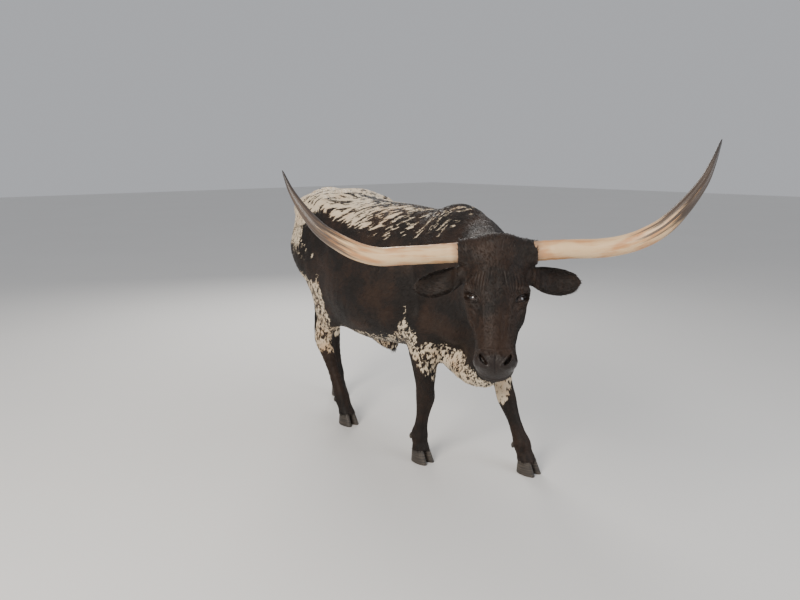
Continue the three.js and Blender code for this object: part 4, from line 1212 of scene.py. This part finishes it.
def skin_material():
    s = Shader("hide")
    colour, bare, place = coat_colour(s)
    hair = s.noise(s.scaled(place, (420, 150, 120)), 1.0, 3.0, 0.6)
    pebbles = s.node("ShaderNodeTexVoronoi", Vector=place, Scale=330.0).outputs["Distance"]
    hairy = s.math("MULTIPLY", hair, s.math("SUBTRACT", 1.0, bare))
    height = s.math("MULTIPLY_ADD", s.math("MULTIPLY", pebbles, bare), 1.4, hairy)
    rough = s.math("MULTIPLY_ADD", bare, -0.3, 0.6)
    return s.finish(colour, rough, s.bump(height, 0.55, 0.0016), Specular_IOR_Level=0.3)


def hair_material():
    s = Shader("short_hair")
    return s.finish(coat_colour(s)[0], 0.5, None, Specular_IOR_Level=0.3)


def long_hair_material():
    s = Shader("long_hair")
    tone = s.noise(s.scaled(s.read("place"), (190, 190, 14)), 1.0, 2.0)
    colour = s.blend((0.012, 0.009, 0.0075), (0.050, 0.031, 0.021), s.step(tone, 0.45, 0.8))
    return s.finish(colour, 0.46, None, Specular_IOR_Level=0.45)


def horn_material():
    s = Shader("horn_keratin")
    along = s.read("along", vector=False)
    grain = s.read("grain")
    fibre = s.noise(s.scaled(grain, (5.0, 5.0, 3.0)), 1.0, 4.0, 0.62)
    hair_line = s.noise(s.scaled(grain, (26.0, 26.0, 5.0)), 1.0, 3.0, 0.6)
    cloud = s.noise(s.scaled(grain, (1.3, 1.3, 7.0)), 1.0, 3.0)
    pale = s.blend((0.72, 0.50, 0.28), (0.56, 0.28, 0.12), s.step(cloud, 0.40, 0.66))
    pale = s.blend(pale, (0.80, 0.64, 0.40), s.step(fibre, 0.54, 0.72))
    streak = s.math("MULTIPLY_ADD", hair_line, 0.35, fibre)
    pale = s.blend(pale, (0.33, 0.19, 0.10), s.step(streak, 0.78, 0.98))
    pale = s.blend((0.36, 0.22, 0.13), pale, s.step(along, 0.015, 0.055))
    dark = s.blend((0.060, 0.042, 0.032), (0.155, 0.115, 0.088), s.step(fibre, 0.45, 0.74))
    dark = s.blend(dark, (0.030, 0.025, 0.024), s.step(along, 0.82, 0.99))
    turning = s.math("MULTIPLY_ADD", s.math("SUBTRACT", fibre, 0.5), 0.9, along)
    colour = s.blend(pale, dark, s.step(turning, 0.50, 0.63))
    height = s.math("MULTIPLY_ADD", fibre, 0.6, hair_line)
    rough = s.math("MULTIPLY_ADD", fibre, 0.18, 0.28)
    return s.finish(colour, rough, s.bump(height, 0.35, 0.0012), Specular_IOR_Level=0.5)


def hoof_material():
    s = Shader("hoof_horn")
    place = s.node("ShaderNodeTexCoord").outputs["Object"]
    band = s.noise(s.scaled(place, (9, 9, 210)), 1.0, 2.0)
    dirt = s.noise(place, 70.0, 3.0)
    colour = s.blend((0.030, 0.025, 0.021), (0.085, 0.068, 0.052), s.step(band, 0.4, 0.7))
    colour = s.blend(colour, (0.13, 0.105, 0.08), s.step(dirt, 0.6, 0.8))
    return s.finish(colour, 0.5, s.bump(band, 0.4, 0.001), Specular_IOR_Level=0.45)


def eye_material():
    s = Shader("eye_wet")
    a, b, out = s.split(s.read("gaze"))
    pupil = s.radius(s.math("MULTIPLY", a, 0.62), s.math("MULTIPLY", b, 1.25))
    fibre = s.noise(s.scaled(s.read("gaze"), (9, 9, 2)), 1.0, 3.0)
    iris = s.blend((0.012, 0.006, 0.004), (0.034, 0.015, 0.008), fibre)
    colour = s.blend((0.002, 0.002, 0.002), iris, s.step(pupil, 0.24, 0.29))
    colour = s.blend(colour, (0.045, 0.028, 0.022), s.step(s.radius(a, b), 0.66, 0.74))
    return s.finish(colour, 0.06, None, Specular_IOR_Level=0.6, Coat_Weight=1.0, Coat_Roughness=0.03)


HIDE, SHORT_HAIR, LONG_HAIR = skin_material(), hair_material(), long_hair_material()
HORN, HOOF, EYE = horn_material(), hoof_material(), eye_material()


def dress(obj, material):
    obj.data.materials.clear()
    obj.data.materials.append(material)


mark(skin.data, points_of(skin))
dress(skin, HIDE)
for _, name in SIDES:
    dress(bpy.data.objects[f"horn_{name}_fine"], HORN)
    dress(bpy.data.objects[f"eye_{name}_ball"], EYE)
for obj in hooves:
    dress(obj, HOOF)

# ---- coat
NECK_CUT = (np.array([-150, -260, 900.0]), unit([-0.5, -0.85, 0.17]))
HEAD_CUT = (np.array([0, 170, 0.0]), unit([0, -0.917, -0.4]))


def region_of(p):
    """Name of the coat's piece for each root."""
    region = np.full(len(p), "trunk_fore", dtype=object)
    region[p[:, 1] > 520] = "trunk_hind"
    region[(p - NECK_CUT[0]) @ NECK_CUT[1] > 0] = "neck"
    for name, field in leg_fields.items():
        region[(field(p) < 14) & (p[:, 2] < 770)] = name
    region[(tail(p) < 12) & (p[:, 1] > 1385)] = "tail"
    q = model_to_head(p)
    near = np.linalg.norm(q - HEAD_MIDDLE, axis=1) < 400
    in_head_part = ((q - HEAD_CUT[0]) @ HEAD_CUT[1] > 0) & near
    region[in_head_part] = "head"
    ear = in_head_part & (np.abs(q[:, 0]) > 138) & (q[:, 2] < -50) & (q[:, 1] > 80)
    region[ear & (q[:, 0] > 0)] = "ear_left"
    region[ear & (q[:, 0] < 0)] = "ear_right"
    return region


AXES = {
    "trunk_fore": ((0, -300, 1000), (0, 1, 0), 850),
    "trunk_hind": ((0, 500, 1020), (0, 1, 0), 1000),
    "neck": ((-600, -700, 1100), (0.6, 0.7, -0.1), 800),
    "tail": ((30, 1460, 1460), (0.05, 0.08, -1), 640),
}


def unwrapped(p, region):
    """Place of each root on a map of its part rolled flat round the part's own axis."""
    q = model_to_head(p)
    if region in LEGS:
        stations = np.array([s[0] for s in LEGS[region]], float)[::-1]
        x, y = (p[:, i] - np.interp(p[:, 2], stations[:, 2], stations[:, i]) for i in (0, 1))
        angle, high = np.arctan2(x, y), (p[:, 2] - 40) / 760
    elif region == "head":
        angle, high = np.arctan2(q[:, 0], 100 - q[:, 1]), (q[:, 2] + 560) / 640
    elif region.startswith("ear"):
        angle, high = np.arctan2(q[:, 2] + 150, q[:, 1] - 150), (np.abs(q[:, 0]) - 130) / 200
    else:
        start, axis, length = AXES[region]
        axis, r = unit(axis), p - np.array(start)
        side = unit(np.cross(axis, (0, 0, 1) if abs(axis[2]) < 0.8 else (0, 1, 0)))
        angle, high = np.arctan2(r @ side, r @ np.cross(side, axis)), r @ axis / length
    return np.column_stack([0.5 + angle / (2 * math.pi), high])


def lie_of(p, region):
    """Direction in which the hair lies at each root."""
    x, y, z = p.T
    low = smooth(780, 600, z)[:, None]
    way = mix(np.array([0, 0.88, -0.42]), np.array([0, 0.1, -1.0]), low)
    fore = (smooth(-60, -320, y + 0.6 * x) * (z > 560))[:, None]
    way = mix(way, np.array([0.6, 0.66, -0.42]), fore)
    q = model_to_head(p)
    high = smooth(-235, -150, q[:, 2])[:, None]
    face_way = mix(both_halves(q, (0.12, 0.45, -0.95)), both_halves(q, (0.35, 0.5, 0.9)), high)
    ear_way = both_halves(q, (1, 0.22, -0.12))
    for names, local in ((["head"], face_way), (["ear_left", "ear_right"], ear_way)):
        way = np.where(np.isin(region, names)[:, None], local @ HEAD_TURN.T, way)
    return unit(way)


def hair_length(p, region):
    """Length of the coat at each root: short on the face and feet, longer below and behind."""
    y, z = p[:, 1], p[:, 2]
    length = np.full(len(p), 17.0)
    length += 7 * smooth(720, 620, z) * (z > 520)
    length += 5 * smooth(1150, 1300, y)
    leg = np.isin(region, list(LEGS))
    length[leg] = 11 + 5 * smooth(400, 700, z[leg])
    length[leg] += 7 * smooth(130, 90, z[leg])
    q = model_to_head(p)
    face = region == "head"
    crown = smooth(-110, -20, q[:, 2])
    length[face] = 7 + 13 * crown[face] + 5 * smooth(90, 170, q[face, 1])
    length[np.isin(region, ["ear_left", "ear_right"])] = 10
    length[region == "neck"] = 16
    return length


def spread_roots(obj, spacing):
    """Random roots on the skin, closer where the hair is shorter."""
    mesh = obj.data
    mesh.calc_loop_triangles()
    corners = numbers(mesh.loop_triangles, "vertices", 3, np.int32)
    at, turned = points_of(obj), normals_of(obj)
    a, b, c = (at[corners[:, i]] for i in range(3))
    area = np.linalg.norm(np.cross(b - a, c - a), axis=1) / 2
    middle = (a + b + c) / 3
    region = region_of(middle)
    length = hair_length(middle, region)
    bare = marks_of(middle)[:, 2]
    wanted = area * (1 - bare) / (spacing * length**2)
    wanted[middle[:, 2] < HOOF_HEIGHT - 4] = 0
    q = model_to_head(middle)
    under_horn = np.linalg.norm(middle - np.array(CROWN), axis=1) < 260
    under_horn &= (np.abs(q[:, 0]) > HORN_ROOT_OUT) & (q[:, 2] > -95)
    wanted[under_horn] = 0
    count = np.floor(wanted + RANDOM.random(len(wanted))).astype(int)
    face = np.repeat(np.arange(len(wanted)), count)
    u, v = RANDOM.random((2, len(face)))
    flip = u + v > 1
    u[flip], v[flip] = 1 - u[flip], 1 - v[flip]
    shares = np.stack([1 - u - v, u, v], 1)[:, :, None]
    root = (at[corners[face]] * shares).sum(1)
    normal = unit((turned[corners[face]] * shares).sum(1))
    return root, normal, region[face], length[face]


UV_REACH = 0.0015
UV_EDGE = 0.004
UV_PATCH = np.array([(-UV_REACH, -UV_REACH), (UV_REACH, -UV_REACH), (0, 0), (0, UV_REACH)])
TUFT_FACES = np.array([(0, 1, 3), (1, 2, 3), (2, 0, 3), (0, 2, 1)])


def bake_map(obj, root, region, patch):
    """UV map in which each tuft is a small patch at its root's place on the unwrap of its part."""
    uv = UV_EDGE + (1 - 2 * UV_EDGE) * np.clip(unwrapped(root, region), 0, 1)
    uv = (uv[:, None] + patch[None]).reshape(-1, 2)
    layer = obj.data.uv_layers.new(name="OFBake")
    corners = numbers(obj.data.loops, "vertex_index", 1, np.int32)[:, 0]
    layer.data.foreach_set("uv", uv[corners].astype(np.float32).ravel())


def tuft_piece(name, root, normal, way, length, region):
    """One mesh of flat pointed tufts that lie along the skin."""
    count = len(root)
    way = unit(way - normal * (way * normal).sum(1, keepdims=True))
    side = np.cross(normal, way)
    swing = RANDOM.normal(0, 0.24, count)[:, None]
    way = unit(way * np.cos(swing) + side * np.sin(swing))
    side = np.cross(normal, way)
    size = (length * RANDOM.uniform(0.75, 1.25, count))[:, None]
    width = size * RANDOM.uniform(0.085, 0.14, count)[:, None]
    lift = size * RANDOM.uniform(0.03, 0.12, count)[:, None]
    points = np.empty((count, 4, 3))
    points[:, 0] = root - side * width - normal * 0.5
    points[:, 1] = root + side * width - normal * 0.5
    points[:, 2] = root + way * size * 0.25 + normal * (0.35 + size * 0.045)
    points[:, 3] = root + way * size + normal * lift
    faces = (TUFT_FACES[None] + 4 * np.arange(count)[:, None, None]).reshape(-1, 3)
    points[:, :, 2] = np.maximum(points[:, :, 2], 1.0)
    obj = new_object(name, points.reshape(-1, 3), faces, smooth_faces=False)
    mark(obj.data, np.repeat(root, 4, axis=0))
    bake_map(obj, root, region, UV_PATCH)
    dress(obj, SHORT_HAIR)
    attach(obj, "root")
    return obj


# ---- long hair: switch of the tail, tuft of the sheath
def strand_piece(name, paths, radii, region):
    """One mesh of tapering three-sided strands along paths of shape (strands, steps, 3)."""
    count, steps = paths.shape[:2]
    onward = unit(np.gradient(paths, axis=1))
    side = unit(np.cross(onward, RANDOM.normal(0, 1, (count, 1, 3))))
    high = np.cross(side, onward)
    taper = np.sin(np.linspace(0.42, 1, steps) * math.pi) ** 0.75 + 0.06
    turn = np.arange(3) * 2 * math.pi / 3
    ring = np.cos(turn)[:, None] * side[:, :, None] + 0.6 * np.sin(turn)[:, None] * high[:, :, None]
    points = paths[:, :, None] + ring * (taper[None, :, None] * np.asarray(radii)[:, None, None])[..., None]
    first = 3 * np.arange(steps - 1)[:, None]
    n = np.arange(3)[None]
    m = (n + 1) % 3
    lower, upper = (first + n, first + m), (first + 3 + n, first + 3 + m)
    tube = np.stack([np.stack([*lower, upper[1]], -1), np.stack([lower[0], upper[1], upper[0]], -1)], 1)
    last = 3 * (steps - 1)
    tube = np.vstack([tube.reshape(-1, 3), [(0, 2, 1), (last, last + 1, last + 2)]])
    faces = (tube[None] + 3 * steps * np.arange(count)[:, None, None]).reshape(-1, 3)
    points = points.reshape(-1, 3)
    obj = new_object(name, points, faces)
    place = np.repeat(paths[:, 0], 3 * steps, axis=0) / 1000 + points * [0, 0, 0.001]
    attribute(obj.data, "place", place)
    along = np.repeat(np.linspace(-UV_REACH, UV_REACH, steps), 3)
    across = np.tile((-UV_REACH, 0, UV_REACH), steps)
    bake_map(obj, paths[:, 0], region, np.column_stack([across, along]))
    dress(obj, LONG_HAIR)
    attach(obj, "root")
    return obj


def hanging(roots, down, lengths, bow, steps=9, wave=5.0):
    """Paths that hang from their roots, bow outward and come back to thin tips."""
    count = len(roots)
    t = np.linspace(0, 1, steps)[None, :, None]
    turn = RANDOM.uniform(0, 2 * math.pi, count)
    outward = np.column_stack([np.cos(turn), np.sin(turn), np.zeros(count)])[:, None]
    bow = RANDOM.uniform(0.2, 1, count)[:, None, None] * bow
    phase = t * RANDOM.uniform(4, 9, (count, 1, 1)) + RANDOM.uniform(0, 6, (count, 1, 1))
    swing = np.sin(phase) * wave * t
    side = np.cross(outward, [0, 0, 1.0])
    path = roots[:, None] + np.asarray(down, float) * lengths[:, None, None] * t
    return path + outward * bow * (0.25 + np.sin(t * 2.5)) + side * swing


SWITCH_PATH = [(61, 1478, 900), (62, 1480, 840), (60, 1482, 740), (56, 1485, 620), (54, 1487, 520)]
count = 620
place = RANDOM.uniform(0, 1, count) ** 0.8
roots = curve(SWITCH_PATH, 60)[(place * 50).astype(int)]
lengths = RANDOM.uniform(140, 270, count)
lengths = np.minimum(lengths, roots[:, 2] - RANDOM.uniform(352, 440, count))
paths = hanging(roots, (0, 0.01, -1), np.maximum(lengths, 60), 19)
switch = strand_piece("tail_switch_hair", paths, RANDOM.uniform(1.5, 3.1, count), "tail")
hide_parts("tail_switch")
count = 130
across, back = RANDOM.normal(0, 7, count), RANDOM.uniform(590, 622, count)
up = RANDOM.uniform(556, 574, count)
roots = np.column_stack([across, back, up])
paths = hanging(roots, (0, -0.28, -1), RANDOM.uniform(28, 52, count), 5, 6, 2.0)
strand_piece("sheath_hair", paths, RANDOM.uniform(0.9, 1.7, count), "trunk_fore")

# Hair that edges the ears and stands inside them
for side, name in SIDES:
    count = 520
    t = RANDOM.uniform(0.16, 0.86, count)
    v = np.where(RANDOM.random(count) < 0.5, 1, -1) * RANDOM.uniform(0.55, 0.98, count)
    height, cup, wall = (np.interp(t, EAR_KNOTS, row) for row in EAR_ROWS)
    x, y, z = ear_line(side, t)
    y = y + cup * np.cos(v * math.pi / 2) * (1 - 2 * wall) + 1.5
    roots = np.column_stack([x, y, z + height * np.sin(v * math.pi / 2)])
    forward = RANDOM.uniform(-0.5, -0.1, count)
    inward = -0.5 * np.sign(v) * RANDOM.uniform(0.2, 1, count)
    along = np.column_stack([np.full(count, side * 0.85), forward, inward])
    steps = np.linspace(0, 1, 6)[None, :, None]
    length = RANDOM.uniform(12, 26, count)[:, None, None]
    paths = roots[:, None] + along[:, None] * length * steps + np.array([0, 0, -5.0]) * steps**2
    paths = head_to_model(paths)
    strand_piece(f"ear_{name}_hair", paths, RANDOM.uniform(0.35, 0.7, count), f"ear_{name}")

MOST_TUFTS = 48000
root, normal, region, length = spread_roots(skin, 0.2)
way = lie_of(root, region)
total = 0
for name in sorted(set(region)):
    chosen = np.flatnonzero(region == name)
    parts = max(1, math.ceil(len(chosen) / MOST_TUFTS))
    order = chosen[np.argsort(root[chosen, 1])]
    for k, part in enumerate(np.array_split(order, parts)):
        label = f"coat_{name}" if parts == 1 else f"coat_{name}_{k + 1}"
        tuft_piece(label, root[part], normal[part], way[part], length[part], name)
        total += len(part)
print("tufts", total)

# ---- floor, light and camera
def floor_material():
    s = Shader("pale_floor")
    cloud = s.noise(s.node("ShaderNodeTexCoord").outputs["Object"], 0.6, 3.0)
    return s.finish(s.blend((0.74, 0.73, 0.71), (0.78, 0.77, 0.75), cloud), 0.85)


bpy.ops.mesh.primitive_plane_add(size=60)
floor = bpy.context.object
floor.name = "studio_floor"
dress(floor, floor_material())
floor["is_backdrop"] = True

camera = linked("camera", bpy.data.cameras.new("camera"))
camera.data.lens = 30.47
camera.data.sensor_width = 36
camera.data.clip_end = 200
camera.location = to_row((-2662.5, -2419, 1700))
camera.rotation_euler = (math.radians(78), 0, math.radians(-42))
bpy.context.scene.camera = camera

world = bpy.data.worlds.new("studio_air")
bpy.context.scene.world = world
world.use_nodes = True
air = world.node_tree.nodes["Background"]
air.inputs["Color"].default_value = (0.93, 0.95, 1.0, 1)
air.inputs["Strength"].default_value = 0.5


def soft_light(name, at, aim, power, size, colour):
    light = linked(name, bpy.data.lights.new(name, "AREA"))
    light.data.energy = power
    light.data.size = size
    light.data.color = colour
    light.location = at
    light.rotation_euler = (Vector(aim) - Vector(at)).to_track_quat("-Z", "Y").to_euler()


soft_light("key", (-4.6, -1.2, 3.6), (0, 0, 0.9), 300, 2.4, (1.0, 0.93, 0.84))
soft_light("fill", (1.5, -4.6, 2.6), (0, -0.4, 0.9), 90, 3.0, (0.93, 0.96, 1.0))
soft_light("rim", (2.2, 4.2, 3.6), (0, 0.4, 1.1), 150, 2.0, (1.0, 0.97, 0.92))

# ---- size of the model beside the solids
bpy.context.view_layer.update()
model_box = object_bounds()
print("size", [[round(v, 4) for v in corner] for corner in (*cad_box, *model_box)])
